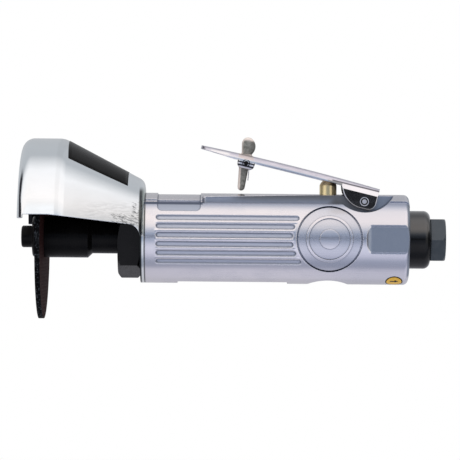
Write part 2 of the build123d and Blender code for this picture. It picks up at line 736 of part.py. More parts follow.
def bearing_parts(bearing, x_front):
    """Outer race, inner race and balls of a ball bearing."""
    x_rear = x_front + bearing.width
    bore = bearing.bore + SEATING_PLAY
    outer = bearing.outer - SEATING_PLAY
    pitch = (bore + outer) / 2
    wall = RACE_SHARE * (outer - bore) - bearing.ball / 2
    middle = (x_front + x_rear) / 2
    track = revolve(Pos(middle, pitch) * Circle(bearing.ball + BALL_PLAY), Axis.X)
    outer_race = ring(x_front, x_rear, outer, outer - wall) - track
    inner_race = ring(x_front, x_rear, bore + wall, bore) - track
    ball = Pos(middle, 0, pitch) * Sphere(bearing.ball)
    balls = [Rot(360 / BALL_COUNT * index, 0, 0) * ball for index in range(BALL_COUNT)]
    return outer_race, inner_race, balls


def lever_top_edge(drop):
    """Crowned line along the lever's top, lowered by the drop."""
    level = LEVER_TOP - drop
    middle = (LEVER_HEEL + LEVER_TIP) / 2
    return ThreePointArc((LEVER_HEEL, level), (middle, level + LEVER_CROWN), (LEVER_TIP, level))


def bar_outline():
    """Side view of the lever's folded bar."""
    lower_edge = Polyline(
        (LEVER_TIP, LEVER_TOP),
        (LEVER_TIP, LEVER_TOP - LEVER_SHEET),
        (LEVER_FLANGE_END, LEVER_TOP - LEVER_SHEET),
        (LEVER_FLANGE_TAPER, LEVER_EDGE),
        (LEVER_HEEL, LEVER_EDGE),
        (LEVER_HEEL, LEVER_TOP),
    )
    return make_face([lever_top_edge(0), lower_edge])


def ear_outline():
    """Side view of the ear that hangs over the pivot."""
    foot = (EAR_BOTTOM_FRONT, EAR_BOTTOM)
    front_edge = (EAR_FRONT, LEVER_EDGE)
    front = ThreePointArc(front_edge, EAR_FRONT_BEND, foot)
    heel = (LEVER_HEEL, EAR_SHOULDER)
    rear = FilletPolyline(foot, (LEVER_HEEL, EAR_BOTTOM), heel, radius=EAR_CORNER)
    return make_face([front, rear, Polyline(heel, (EAR_FRONT, EAR_SHOULDER), front_edge)])


def lever_block(drop, half_width, bend):
    """Block under the lever's crowned line, with its two long upper edges rounded."""
    floor = Polyline(
        (LEVER_TIP, LEVER_TOP - drop),
        (LEVER_TIP, -BEYOND),
        (LEVER_HEEL, -BEYOND),
        (LEVER_HEEL, LEVER_TOP - drop),
    )
    side = make_face([lever_top_edge(drop), floor])
    block = side_slab(side, -half_width, half_width, LEVER_PLANE)
    return fillet(block.edges().filter_by(GeomType.CIRCLE), bend)


def lever_ear():
    """Ear on one side, set out from the bar by a sloping shoulder, with its lower outer edge rounded."""
    half = LEVER_WIDTH / 2
    outer = EAR_INNER + LEVER_SHEET
    section = make_face(
        Polyline(
            (half - EAR_SHOULDER_INSET, EAR_SHOULDER),
            (outer, EAR_TOP),
            (outer, -BEYOND),
            (EAR_INNER, -BEYOND),
            (EAR_INNER, EAR_TOP),
            (half - LEVER_SHEET, LEVER_EDGE),
            (half - LEVER_SHEET, EAR_SHOULDER),
            close=True,
        )
    )
    tip = LEVER_PLANE.from_local_coords(Vector(LEVER_TIP, 0, 0))
    cross = Plane(origin=tip, x_dir=(0, 1, 0), z_dir=-LEVER_PLANE.x_dir)
    fold = extrude(cross * section, LEVER_TIP - LEVER_HEEL)
    ear = fold & side_slab(ear_outline(), 0, BEYOND, LEVER_PLANE)
    rim = ear.faces().sort_by(Axis.Y)[-1].edges()
    low = [edge for edge in rim if LEVER_PLANE.to_local_coords(edge.center()).Y < EAR_TOP - EAR_EASE]
    return fillet(low, EAR_EASE)


def catch_tab():
    """Side view of a tab that hangs from the lever's side and holds the catch pin."""
    height = LEVER_TOP - CATCH_TAB_LOW
    outline = Rectangle(2 * CATCH_TAB_HALF_LENGTH, height)
    outline = fillet(outline.vertices().sort_by(Axis.Y)[:2], CATCH_TAB_CORNER)
    return Pos(CATCH_ALONG, CATCH_TAB_LOW + height / 2) * outline


def lever_plan():
    """Top view of the lever, with rounded corners at the tip."""
    length = LEVER_TIP - LEVER_HEEL
    outline = Rectangle(length, LEVER_WIDTH, align=(Align.MIN, Align.CENTER))
    outline = fillet(outline.vertices().sort_by(Axis.X)[-2:], LEVER_TIP_CORNER)
    heel = LEVER_PLANE.from_local_coords(Vector(LEVER_HEEL, 0, 0))
    top = Plane(origin=heel, x_dir=LEVER_PLANE.x_dir, z_dir=LEVER_PLANE.y_dir)
    return extrude(top * outline, BEYOND, both=True)


def catch_slot():
    """Slot through the lever's web in which the catch swings."""
    length = CATCH_SLOT_END - CATCH_SLOT_START
    outline = SlotOverall(length, CATCH_SLOT_WIDTH)
    middle = LEVER_PLANE.from_local_coords(Vector((CATCH_SLOT_START + CATCH_SLOT_END) / 2, 0, 0))
    top = Plane(origin=middle, x_dir=LEVER_PLANE.x_dir, z_dir=LEVER_PLANE.y_dir)
    return extrude(top * outline, BEYOND)


def tab_block():
    """The two catch tabs as one block, with its lower outer edges rounded."""
    half = LEVER_WIDTH / 2
    block = side_slab(catch_tab(), -half, half, LEVER_PLANE)
    below_top = block.faces().filter_by(Axis.Y).edges().sort_by(Axis.Z)[:-2]
    return fillet(below_top, CATCH_TAB_EASE)


def throttle_lever():
    half = LEVER_WIDTH / 2
    lever = side_slab(bar_outline(), -half, half, LEVER_PLANE) + tab_block()
    lever &= lever_block(0, half, LEVER_BEND)
    lever -= lever_block(LEVER_SHEET, half - LEVER_SHEET, LEVER_BEND - LEVER_SHEET)
    lever &= lever_plan()
    lever -= catch_slot()
    lever += side_mirror(lever_ear())
    lever -= crosswise(PIVOT_X, PIVOT_Z, LEVER_PIN_RADIUS + PIN_PLAY, LEVER_WIDTH)
    return lever - crosswise(CATCH_ORIGIN.X, CATCH_ORIGIN.Z, CATCH_PIN_RADIUS, LEVER_WIDTH)


def lever_pin():
    """Cross pin, riveted at both ends to a low head with a ring pressed into it."""
    ear_outer = EAR_INNER + LEVER_SHEET + 2 * PIN_PLAY
    head_end = ear_outer + LEVER_PIN_HEAD
    shank = crosswise(PIVOT_X, PIVOT_Z, LEVER_PIN_RADIUS, ear_outer)
    head = side_slab(Circle(LEVER_PIN_HEAD_RADIUS), ear_outer, head_end, LEVER_PLANE)
    recess = Circle(LEVER_PIN_RECESS_RADII[1]) - Circle(LEVER_PIN_RECESS_RADII[0])
    head -= side_slab(recess, head_end - LEVER_PIN_RECESS, head_end, LEVER_PLANE)
    return shank + side_mirror(head)


def catch_outline():
    """Side view of the catch about its pin: a tapering prop, a flared hub and a paddle."""
    toe_height = CATCH_TOE_RISE - CATCH_PROP
    toe_tip = ((CATCH_TOE_FRONT + CATCH_TOE_BACK) / 2, -CATCH_PROP)
    prop_front = (CATCH_PROP_FRONT, CATCH_PROP_SHOULDER)
    prop_back = (CATCH_PROP_BACK, CATCH_PROP_SHOULDER)
    toe_front = (CATCH_TOE_FRONT, toe_height)
    toe_back = (CATCH_TOE_BACK, toe_height)
    hub_front = (CATCH_HUB_FRONT, CATCH_HUB_HEIGHT)
    hub_back = (CATCH_HUB_BACK, CATCH_HUB_HEIGHT)
    neck_front = (CATCH_NECK_FRONT, CATCH_NECK_HEIGHT)
    neck_back = (CATCH_NECK_BACK, CATCH_NECK_HEIGHT)
    paddle_top = (CATCH_PADDLE_CROWN, CATCH_PADDLE)
    nose_bend = (CATCH_PADDLE_FRONT, CATCH_PADDLE_NOSE_BEND)
    paddle_front = (CATCH_PADDLE_FRONT, CATCH_PADDLE_FRONT_HEIGHT)
    return make_face(
        [
            Line(prop_front, toe_front),
            ThreePointArc(toe_front, toe_tip, toe_back),
            Line(toe_back, prop_back),
            ThreePointArc(prop_back, CATCH_HUB_BEND, hub_back),
            Line(hub_back, neck_back),
            ThreePointArc(neck_back, CATCH_PADDLE_BACK_BEND, CATCH_PADDLE_BACK),
            ThreePointArc(CATCH_PADDLE_BACK, paddle_top, CATCH_PADDLE_NOSE),
            ThreePointArc(CATCH_PADDLE_NOSE, nose_bend, paddle_front),
            Polyline(paddle_front, neck_front, hub_front, prop_front),
        ]
    )


def safety_catch():
    outline = fillet(catch_outline().vertices(), CATCH_CORNER)
    catch = side_slab(outline, -CATCH_WIDTH / 2, CATCH_WIDTH / 2, CATCH_PLANE)
    catch = fillet(catch.faces().filter_by(Axis.Y).edges(), CATCH_ROUNDING)
    return catch - crosswise(CATCH_ORIGIN.X, CATCH_ORIGIN.Z, CATCH_PIN_RADIUS + PIN_PLAY, LEVER_WIDTH)


def catch_pin():
    return crosswise(CATCH_ORIGIN.X, CATCH_ORIGIN.Z, CATCH_PIN_RADIUS, LEVER_WIDTH / 2 + CATCH_PIN_PROUD)


def biarc(start, start_direction, end, end_direction):
    """Two tangent arcs between two points with given directions."""
    span = end - start
    both = start_direction + end_direction
    bend = 2 * (1 - start_direction.dot(end_direction))
    ahead = span.dot(both)
    step = (-ahead + sqrt(ahead**2 + bend * span.dot(span))) / bend
    joint = (start + end + (start_direction - end_direction) * step) / 2
    joint_direction = end - end_direction * step - start - start_direction * step
    return [
        TangentArc(start, joint, tangent=start_direction),
        TangentArc(joint, end, tangent=joint_direction),
    ]


def coil_stations(radius, pitch, first, last):
    """Points and directions on a helix about local Z, a quarter turn apart, level at both ends."""
    steps = round(abs(last - first) / 90)
    way = 1 if last > first else -1
    stations = []
    for index in range(steps + 1):
        swept = (last - first) * index / steps
        turn = radians(first + swept)
        climb = 0 if index in (0, steps) else pitch / (2 * pi * radius)
        point = Vector(radius * cos(turn), radius * sin(turn), pitch * swept / 360)
        stations.append((point, Vector(-sin(turn), cos(turn), climb).normalized() * way))
    return stations


def coil_arcs(stations):
    """Tangent arcs through the stations of a coil."""
    arcs = []
    for (start, start_way), (end, end_way) in zip(stations, stations[1:]):
        arcs += biarc(start, start_way, end, end_way)
    return arcs


def wound_wire(name, edges, wire, radius):
    """Round wire swept along joined edges, with its least gap to itself printed."""
    path = Wire(edges)
    count = ceil(2 * path.length / wire)
    points = [path @ (index / count) for index in range(count + 1)]
    half_turn = ceil(pi * radius * count / path.length)
    least = min(
        (far - near).length
        for index, near in enumerate(points)
        for far in points[index + half_turn:]
    )
    print(f"{name}: least gap between turns {least - wire:.2f} mm")
    section = Plane(origin=path @ 0, z_dir=path % 0) * Circle(wire / 2)
    return sweep(section, path)


def valve_spring():
    """Compression spring between the plug and the valve's head."""
    low = VALVE_CHAMBER_FLOOR + VALVE_SPRING_WIRE / 2
    high = VALVE_SEAT_HEIGHT - SEAL_GAP - SEAL_THICKNESS - POPPET_THICKNESS - VALVE_SPRING_WIRE / 2
    pitch = (high - low) / VALVE_SPRING_TURNS
    arcs = coil_arcs(coil_stations(VALVE_SPRING_RADIUS, pitch, 0, 360 * VALVE_SPRING_TURNS))
    coil = wound_wire("valve_spring", arcs, VALVE_SPRING_WIRE, VALVE_SPRING_RADIUS)
    return Pos(VALVE_X, 0, low) * coil


def catch_spring():
    """Torsion spring on the catch pin: a hooked leg on the prop, coils, a leg under the lever's web."""
    hook = Vector(*CATCH_SPRING_HOOK)
    hook_angle = degrees(atan2(-hook.X, -hook.Y))
    first_angle = 180 - hook_angle + degrees(CATCH_SPRING_RADIUS / hook.length)
    last_angle = 90 + LEVER_TILT - CATCH_LEAN - 360 * CATCH_SPRING_TURNS
    stations = coil_stations(CATCH_SPRING_RADIUS, CATCH_SPRING_PITCH, first_angle, last_angle)
    first, first_way = stations[0]
    last, last_way = stations[-1]
    foot = first - first_way * sqrt(hook.length**2 - CATCH_SPRING_RADIUS**2)
    toe = foot + Vector(0, 0, CATCH_SPRING_HOOK_LENGTH)
    leg = FilletPolyline(toe, foot, first, radius=CATCH_SPRING_WIRE)
    lead = Line(last, last + last_way * CATCH_SPRING_LEG)
    edges = leg.edges() + coil_arcs(stations) + [lead]
    spring = wound_wire("catch_spring", edges, CATCH_SPRING_WIRE, CATCH_SPRING_RADIUS)
    return CATCH_PLANE.offset(-CATCH_SPRING_START) * spring


def stem_dome_top():
    """Height of the stem's dome, a little below the lever's web."""
    tilt = radians(LEVER_TILT)
    half_length = (LEVER_TIP - LEVER_HEEL) / 2
    along = (PIVOT_X - VALVE_X) / cos(tilt)
    crown = LEVER_CROWN * (1 - ((along - LEVER_HEEL) / half_length - 1) ** 2)
    web = LEVER_TOP - LEVER_SHEET + crown
    centre = PIVOT_Z + (web - DOME_RADIUS) / cos(tilt) + (PIVOT_X - VALVE_X) * tan(tilt)
    return centre + DOME_RADIUS - LEVER_PLAY


def valve_stem():
    """Domed button, neck, valve head and tail, turned about the upright valve axis."""
    top = stem_dome_top()
    shoulder = top - DOME_RADIUS + sqrt(DOME_RADIUS**2 - STEM_RADIUS**2)
    seat = VALVE_SEAT_HEIGHT - SEAL_GAP
    head_top = seat - SEAL_THICKNESS
    groove = STEM_RADIUS - O_RING_SECTION - O_RING_FLOOR_PLAY
    groove_half = O_RING_SECTION / 2 + O_RING_SIDE_PLAY
    groove_low = STEM_O_RING_HEIGHT - groove_half
    groove_high = STEM_O_RING_HEIGHT + groove_half
    sides = Polyline(
        (0, top),
        (0, TAIL_END),
        (TAIL_RADIUS, TAIL_END),
        (TAIL_RADIUS, head_top - POPPET_THICKNESS),
        (POPPET_RADIUS, head_top - POPPET_THICKNESS),
        (POPPET_RADIUS, head_top),
        (STEM_NECK_RADIUS, head_top),
        (STEM_NECK_RADIUS, STEM_NECK_TOP),
        (STEM_RADIUS, STEM_NECK_TOP),
        (STEM_RADIUS, groove_low),
        (groove, groove_low),
        (groove, groove_high),
        (STEM_RADIUS, groove_high),
        (STEM_RADIUS, shoulder),
    )
    dome = RadiusArc((STEM_RADIUS, shoulder), (0, top), -DOME_RADIUS)
    return Pos(VALVE_X, 0, 0) * revolve(Plane.XZ * make_face([sides, dome]), Axis.Z)


def stem_o_ring():
    return upright_ring(STEM_O_RING_HEIGHT, STEM_RADIUS - O_RING_SECTION / 2, O_RING_SECTION)


def valve_seal():
    top = VALVE_SEAT_HEIGHT - SEAL_GAP
    disc = upright(VALVE_X, top - SEAL_THICKNESS, top, POPPET_RADIUS)
    return disc - upright(VALVE_X, top - SEAL_THICKNESS, top, STEM_NECK_RADIUS + SEATING_PLAY)


def valve_plug():
    """Screwed plug with a hexagon socket, flush in the finger dip."""
    plug = upright(VALVE_X, PLUG_BOTTOM, VALVE_CHAMBER_FLOOR, PLUG_THREAD_RADIUS)
    groove_half = O_RING_SECTION / 2 + O_RING_SIDE_PLAY
    groove = upright(VALVE_X, PLUG_O_RING_HEIGHT - groove_half, PLUG_O_RING_HEIGHT + groove_half, BEYOND)
    groove -= upright(VALVE_X, -BEYOND, BEYOND, PLUG_THREAD_RADIUS - O_RING_SECTION - O_RING_FLOOR_PLAY)
    socket = extrude(RegularPolygon(PLUG_SOCKET_ACROSS / sqrt(3), 6), PLUG_SOCKET_DEPTH)
    return plug - groove - Pos(VALVE_X, 0, PLUG_BOTTOM) * socket


def plug_o_ring():
    return upright_ring(PLUG_O_RING_HEIGHT, PLUG_THREAD_RADIUS - O_RING_SECTION / 2, O_RING_SECTION)


def inlet_bushing():
    """Hexagon bushing with the female hose thread."""
    corner = INLET_ACROSS / sqrt(3)
    rounding = turned(
        (-INLET_HEX_LENGTH, 0),
        (0, 0),
        (0, INLET_ACROSS / 2 - INLET_MOUTH_EASE),
        (-INLET_HEX_CHAMFER, corner),
        (-INLET_HEX_LENGTH, corner),
    )
    bushing = hexagon_bar(-INLET_HEX_LENGTH, 0, INLET_ACROSS) & rounding
    bushing += ring(INLET_SHANK_END, -INLET_HEX_LENGTH, INLET_SHANK_RADIUS)
    bushing -= ring(-INLET_MOUTH_DEPTH, 0, INLET_MOUTH_RADIUS)
    bushing -= ring(-INLET_MOUTH_DEPTH - SCREEN_THICKNESS, -INLET_MOUTH_DEPTH, SCREEN_RADIUS)
    return bushing - ring(INLET_SHANK_END, 0, AIR_PASSAGE_RADIUS)


def inlet_screen():
    """Perforated disc at the bottom of the inlet."""
    rear = -INLET_MOUTH_DEPTH
    disc = ring(rear - SCREEN_THICKNESS, rear, SCREEN_RADIUS - SEATING_PLAY)
    sites = HexLocations(SCREEN_HOLE_PITCH / 2, SCREEN_ROWS, SCREEN_ROWS)
    reach = AIR_PASSAGE_RADIUS - SCREEN_HOLE_RADIUS
    holes = []
    for site in sites:
        if site.position.length < reach:
            y, z = site.position.X, site.position.Y
            holes.append(rod_along_x(rear - SCREEN_THICKNESS, rear, SCREEN_HOLE_RADIUS, y, z))
    return disc - holes


def exhaust_deflector():
    """Cup-shaped collar that turns on the inlet bushing, with its windows on the far side."""
    web = COLLAR_REAR - COLLAR_WEB
    cup = ring(COLLAR_FRONT, COLLAR_REAR, COLLAR_RADIUS)
    cup = fillet(cup.edges().sort_by(Axis.X)[-1:], COLLAR_ROUNDING)
    cup -= ring(COLLAR_FRONT, web, COLLAR_CHAMBER_RADIUS)
    cup -= ring(COLLAR_FRONT, COLLAR_REAR, INLET_SHANK_RADIUS + COLLAR_PLAY)
    middle = (COLLAR_FRONT + web) / 2
    slot = SlotOverall(COLLAR_WINDOW_LENGTH, COLLAR_WINDOW_WIDTH)
    window = Pos(middle, 0, 0) * extrude(slot, COLLAR_RADIUS)
    for index in range(COLLAR_WINDOWS):
        angle = -90 + COLLAR_WINDOW_STEP * (index - (COLLAR_WINDOWS - 1) / 2)
        cup -= Rot(angle, 0, 0) * window
    return cup


def muffler_felt():
    return ring(FELT_FRONT, FELT_REAR, FELT_RADII[1], FELT_RADII[0])


def build_nodes():
    """Every piece of the tool by its node name."""
    front_outer, front_inner, front_balls = bearing_parts(FRONT_BEARING, NUT_SHANK_END)
    rear_outer, rear_inner, rear_balls = bearing_parts(REAR_BEARING, LINER_END + PLATE_WEB)
    return {
        "motor_housing": motor_housing(),
        "wheel_guard": wheel_guard(),
        "clamp_nut": clamp_nut(),
        "arbor": arbor(),
        "cutting_wheel": cutting_wheel(),
        "outer_flange": outer_flange(),
        "wheel_bolt": wheel_bolt(),
        "rotor": rotor(),
        "rotor_vanes": Compound(children=rotor_vanes()),
        "cylinder_liner": cylinder_liner(),
        "front_end_plate": front_end_plate(),
        "rear_end_plate": rear_end_plate(),
        "cylinder_dowel": dowel_bar(DOWEL_RADIUS - SEATING_PLAY),
        "front_bearing_outer": front_outer,
        "front_bearing_inner": front_inner,
        "front_bearing_balls": Compound(children=front_balls),
        "rear_bearing_outer": rear_outer,
        "rear_bearing_inner": rear_inner,
        "rear_bearing_balls": Compound(children=rear_balls),
        "throttle_lever": throttle_lever(),
        "lever_pin": lever_pin(),
        "safety_catch": safety_catch(),
        "catch_pin": catch_pin(),
        "catch_spring": catch_spring(),
        "valve_stem": valve_stem(),
        "stem_o_ring": stem_o_ring(),
        "valve_seal": valve_seal(),
        "valve_spring": valve_spring(),
        "valve_plug": valve_plug(),
        "plug_o_ring": plug_o_ring(),
        "inlet_bushing": inlet_bushing(),
        "inlet_screen": inlet_screen(),
        "exhaust_deflector": exhaust_deflector(),
        "muffler_felt": muffler_felt(),
    }


os.makedirs("parts", exist_ok=True)
for node, shape in build_nodes().items():
    export_step(shape, f"parts/{node}.step")
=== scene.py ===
# %% [markdown]
# # Dressing an air cut-off tool
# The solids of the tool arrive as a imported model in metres, with X along the tool, the wheel at the low
# end of X and the air inlet at zero. They could be modelled again here, but then two shapes would have
# to agree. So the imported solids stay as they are, and this lesson adds finishes, films, a thread, light
# and a camera.

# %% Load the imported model
import math

import bmesh
import bpy
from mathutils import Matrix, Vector, noise
from mathutils.bvhtree import BVHTree


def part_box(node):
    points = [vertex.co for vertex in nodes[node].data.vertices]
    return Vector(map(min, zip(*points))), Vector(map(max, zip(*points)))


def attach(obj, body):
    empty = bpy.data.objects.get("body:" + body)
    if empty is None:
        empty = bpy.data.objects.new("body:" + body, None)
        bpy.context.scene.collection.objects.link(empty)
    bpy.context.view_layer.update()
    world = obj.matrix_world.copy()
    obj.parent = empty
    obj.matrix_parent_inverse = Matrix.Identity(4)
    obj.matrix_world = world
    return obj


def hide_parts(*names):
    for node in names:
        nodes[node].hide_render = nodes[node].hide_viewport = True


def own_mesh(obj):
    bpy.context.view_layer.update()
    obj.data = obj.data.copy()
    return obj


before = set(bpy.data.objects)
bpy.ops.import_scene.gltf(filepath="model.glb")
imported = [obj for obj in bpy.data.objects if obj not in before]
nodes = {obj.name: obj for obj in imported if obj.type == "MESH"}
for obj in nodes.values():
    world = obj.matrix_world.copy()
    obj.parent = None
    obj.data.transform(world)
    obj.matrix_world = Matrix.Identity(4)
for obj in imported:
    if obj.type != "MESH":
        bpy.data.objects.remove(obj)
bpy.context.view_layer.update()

# %% [markdown]
# ## The camera
# The picture to match is a square of 460 pixels, taken straight from the side with a long lens: the far
# end of the barrel is hardly smaller than the near one. A flat camera would lose the sliver of wheel
# face that shows, so this one is a perspective camera 1.3 m away. The tool droops by half a degree,
# which is roll here.

# %% Place the camera
PICTURE_PIXELS = 460
PIXELS_PER_METRE = 2180
CAMERA_DISTANCE = 1.30
VIEW_CENTRE_X = -0.0985
VIEW_CENTRE_Z = 0.00375
CAMERA_ROLL = math.radians(-0.51)

camera_data = bpy.data.cameras.new("camera")
picture_width = PICTURE_PIXELS / PIXELS_PER_METRE
camera_data.lens = camera_data.sensor_width * CAMERA_DISTANCE / picture_width
camera = bpy.data.objects.new("camera", camera_data)
camera.location = (VIEW_CENTRE_X, -CAMERA_DISTANCE, VIEW_CENTRE_Z)
camera.rotation_euler = (math.radians(90), CAMERA_ROLL, 0)
bpy.context.scene.collection.objects.link(camera)
bpy.context.scene.camera = camera
bpy.context.scene.view_settings.view_transform = "Standard"
print("camera lens", round(camera_data.lens, 1), "mm")

# %% [markdown]
# ## Wiring nodes by hand
# Every finish below is a small node tree. Typing each node out takes three lines or more, so two
# helpers keep the cells short: one fills a socket with a number or a link, the other places a node and
# fills its sockets. The rest cover the steps that come up all the time: sums, colour mixes, soft steps,
# soft windows, and masks that hold where all of several masks hold, or any of them.

# %% Helpers for node trees
def feed(tree, socket, value):
    """Fill a socket with a value, or link it to another socket."""
    if isinstance(value, bpy.types.NodeSocket):
        tree.links.new(value, socket)
    else:
        socket.default_value = value


def put(tree, kind, inputs=None, **settings):
    """Place a shader node, set its settings and fill its inputs."""
    node = tree.nodes.new("ShaderNode" + kind)
    for name, value in settings.items():
        setattr(node, name, value)
    for name, value in (inputs or {}).items():
        feed(tree, node.inputs[name], value)
    return node


def calc(tree, operation, *values):
    """One sum of numbers."""
    return put(tree, "Math", dict(enumerate(values)), operation=operation).outputs[0]


def mix_colour(tree, factor, first, second):
    """The first colour where the factor is zero, the second where it is one."""
    return put(tree, "Mix", {0: factor, 6: first, 7: second}, data_type="RGBA").outputs[2]


def span(tree, value, low, high, to_low=0.0, to_high=1.0):
    """Carry a value softly from one range to another."""
    limits = {"Value": value, 1: low, 2: high, 3: to_low, 4: to_high}
    return put(tree, "MapRange", limits, interpolation_type="SMOOTHSTEP").outputs[0]


def within(tree, value, low, high, soft):
    """One between two limits, zero outside, with soft ends."""
    return calc(tree, "MULTIPLY", span(tree, value, low - soft, low), span(tree, value, high + soft, high))


def every(tree, first, *others):
    """Where all the masks hold: their product."""
    for mask in others:
        first = calc(tree, "MULTIPLY", first, mask)
    return first


def either(tree, first, *others):
    """Where any of the masks holds: the largest of them."""
    for mask in others:
        first = calc(tree, "MAXIMUM", first, mask)
    return first


print("eight node helpers ready")

# %% [markdown]
# ## Light
# Polished metal shows the room, so the room is the light. A photographer builds a tent round such a
# tool: white cloth above, grey cloth behind, pale paper below and a dark gap where the camera looks in.
# One big lamp could light the tool, but its bright metal would then be mostly black. Here a large soft
# lamp above and an even world light the matt pieces, and a tent that only reflections see gives the
# metal its bands.

# %% World and lamp
WORLD_TONE = (0.50, 0.52, 0.55, 1)
BACKDROP_TONE = (1, 1, 1, 1)
LAMP_SIZE = (1.4, 1.0)
LAMP_WATTS = 4.2
LAMP_PLACE = (-0.1, -0.35, 0.62)
LAMP_LEAN = math.radians(28)

world = bpy.data.worlds.new("studio")
world.use_nodes = True
room = world.node_tree
room.nodes.clear()
ray = put(room, "LightPath").outputs
seen = either(room, ray["Is Camera Ray"], ray["Is Transmission Ray"], ray["Is Glossy Ray"])
ambient = put(room, "Background", {"Color": WORLD_TONE, "Strength": 1.0})
backdrop = put(room, "Background", {"Color": BACKDROP_TONE, "Strength": 1.0})
shown = put(room, "MixShader", {0: seen, 1: ambient.outputs[0], 2: backdrop.outputs[0]})
put(room, "OutputWorld", {"Surface": shown.outputs[0]})
bpy.context.scene.world = world

lamp_data = bpy.data.lights.new("roof_lamp", "AREA")
lamp_data.shape = "RECTANGLE"
lamp_data.size, lamp_data.size_y = LAMP_SIZE
lamp_data.energy = LAMP_WATTS
lamp = bpy.data.objects.new("roof_lamp", lamp_data)
lamp.location = LAMP_PLACE
lamp.rotation_euler = (LAMP_LEAN, 0, 0)
lamp.visible_camera = False
lamp.visible_glossy = False
bpy.context.scene.collection.objects.link(lamp)
print("lamp", LAMP_WATTS, "W, world level", WORLD_TONE[1])

# %% [markdown]
# Light and finishes both change from place to place, so their trees start by asking where they are. In
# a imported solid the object's own coordinates are metres of the shared frame, because its place is in
# its mesh. A picture laid over each piece could carry the changes too, but measures can be read and
# moved.

# %% Helpers for places
def bare_material(name):
    """A material with an empty node tree."""
    material = bpy.data.materials.new(name)
    material.use_nodes = True
    material.node_tree.nodes.clear()
    return material, material.node_tree


def spot_in(tree):
    """The place on the piece, in metres of the shared frame."""
    return put(tree, "TexCoord").outputs["Object"]


def axes_of(tree, vector):
    """A vector's three numbers."""
    numbers = put(tree, "SeparateXYZ", {0: vector}).outputs
    return numbers["X"], numbers["Y"], numbers["Z"]


def vector_of(tree, operation, *values):
    """A vector sum that gives a vector."""
    return put(tree, "VectorMath", dict(enumerate(values)), operation=operation).outputs["Vector"]


def number_of(tree, operation, *values):
    """A vector sum that gives one number."""
    return put(tree, "VectorMath", dict(enumerate(values)), operation=operation).outputs["Value"]


print("five helpers for places ready")

# %% [markdown]
# The tent is a wide tube round the tool, seen by reflections alone. Its brightness changes with the
# angle round the tube, measured from the camera's side over the top. It could be many separate cloths,
# but one colour ramp over the angle is easier to move. The stops were tuned until the barrel's bands fell
# where the picture has them: a polished face that leans by ten degrees shows the cloth at twenty.

# %% Bands round the tent
TENT_BRIGHTEST = 1.05
TENT_STOPS = [
    (-180, (0.52, 0.52, 0.55)),
    (-86, (0.55, 0.55, 0.63)),
    (-76, (0.30, 0.32, 0.40)),
    (-58, (0.32, 0.35, 0.44)),
    (-42, (0.60, 0.61, 0.72)),
    (-22, (0.68, 0.70, 0.80)),
    (-14, (0.58, 0.61, 0.73)),
    (-5, (0.35, 0.41, 0.54)),
    (8, (0.31, 0.375, 0.50)),
    (15, (0.36, 0.42, 0.53)),
    (23, (0.58, 0.62, 0.70)),
    (31, (0.88, 0.85, 0.84)),
    (46, (1.05, 0.98, 0.95)),
    (84, (0.94, 0.91, 0.91)),
    (108, (0.46, 0.47, 0.49)),
    (180, (0.50, 0.51, 0.53)),
]


def tent_bands(tree, angle):
    """The cloth's colour by its angle round the tube, in degrees."""
    bands = put(tree, "ValToRGB", {"Fac": calc(tree, "MULTIPLY_ADD", angle, 1 / 360, 0.5)})
    ramp = bands.color_ramp
    while len(ramp.elements) < len(TENT_STOPS):
        ramp.elements.new(0.5)
    for stop, (degrees, colour) in zip(ramp.elements, TENT_STOPS):
        stop.position = degrees / 360 + 0.5
        stop.color = [level / TENT_BRIGHTEST for level in colour] + [1.0]
    return bands.outputs[0]


print("bands with", len(TENT_STOPS), "stops")

# %% [markdown]
# The cloth also changes along the tube, because the guard's cone looks to one side and the barrel
# straight out. The gap for the lens is short, with bright cloth on both sides and a white strip before
# the guard's drum. Dark cloths hang far out towards the inlet and the wheel, the roof sits higher on
# the right, and four levels brighten or dim a stretch. A separate tent for each piece could do it too,
# but every mirror would then see all of them.

# %% Zones of the cloth
TENT_MIDDLE = 0.1
# Places along the tube in metres: where a zone starts and where it is full
BEFORE_DRUM, RIGHT_HALF, RAISED_ROOF = (-0.18, -0.23), (0.6, 1.2), (0.5, 1.5)
FLANK_ASIDE, GAP_ASIDE = (0.40, 0.60), (0.50, 0.35)
INLET_END, WHEEL_END, BARREL_START = (1.8, 2.2), (-1.1, -1.5), (-0.165, -0.14)
BESIDE_BARREL = (0.15, 0.60, 0.09)
# Angles round the tube in degrees: from, to and how soft
FLANK_ANGLES, WHITE_ANGLES, GAP_ANGLES = (-12.0, 20.0, 8.0), (22.0, 33.0, 7.0), (0.5, 4.2, 0.7)
INLET_END_ANGLES, WHEEL_END_ANGLES = (-35.0, 48.0, 16.0), (112.0, 152.0, 12.0)
DIMMED_ANGLES, LOWER_ANGLES = (12.0, 72.0, 16.0), (-120.0, -22.0, 8.0)
ROOF_ANGLES, ROOF_RISE = (45.0, 85.0), 20.0
FLANK_CLOTH, WHITE_CLOTH = (0.86, 0.85, 0.86, 1), (0.93, 0.91, 0.91, 1)
GAP_CLOTH, END_CLOTH = (0.02, 0.022, 0.03, 1), (0.02, 0.02, 0.025, 1)
RIGHT_LEVEL, DIMMED_LEVEL, LOWER_LEVEL, BESIDE_LEVEL = 0.87, 0.885, 1.14, 1.07


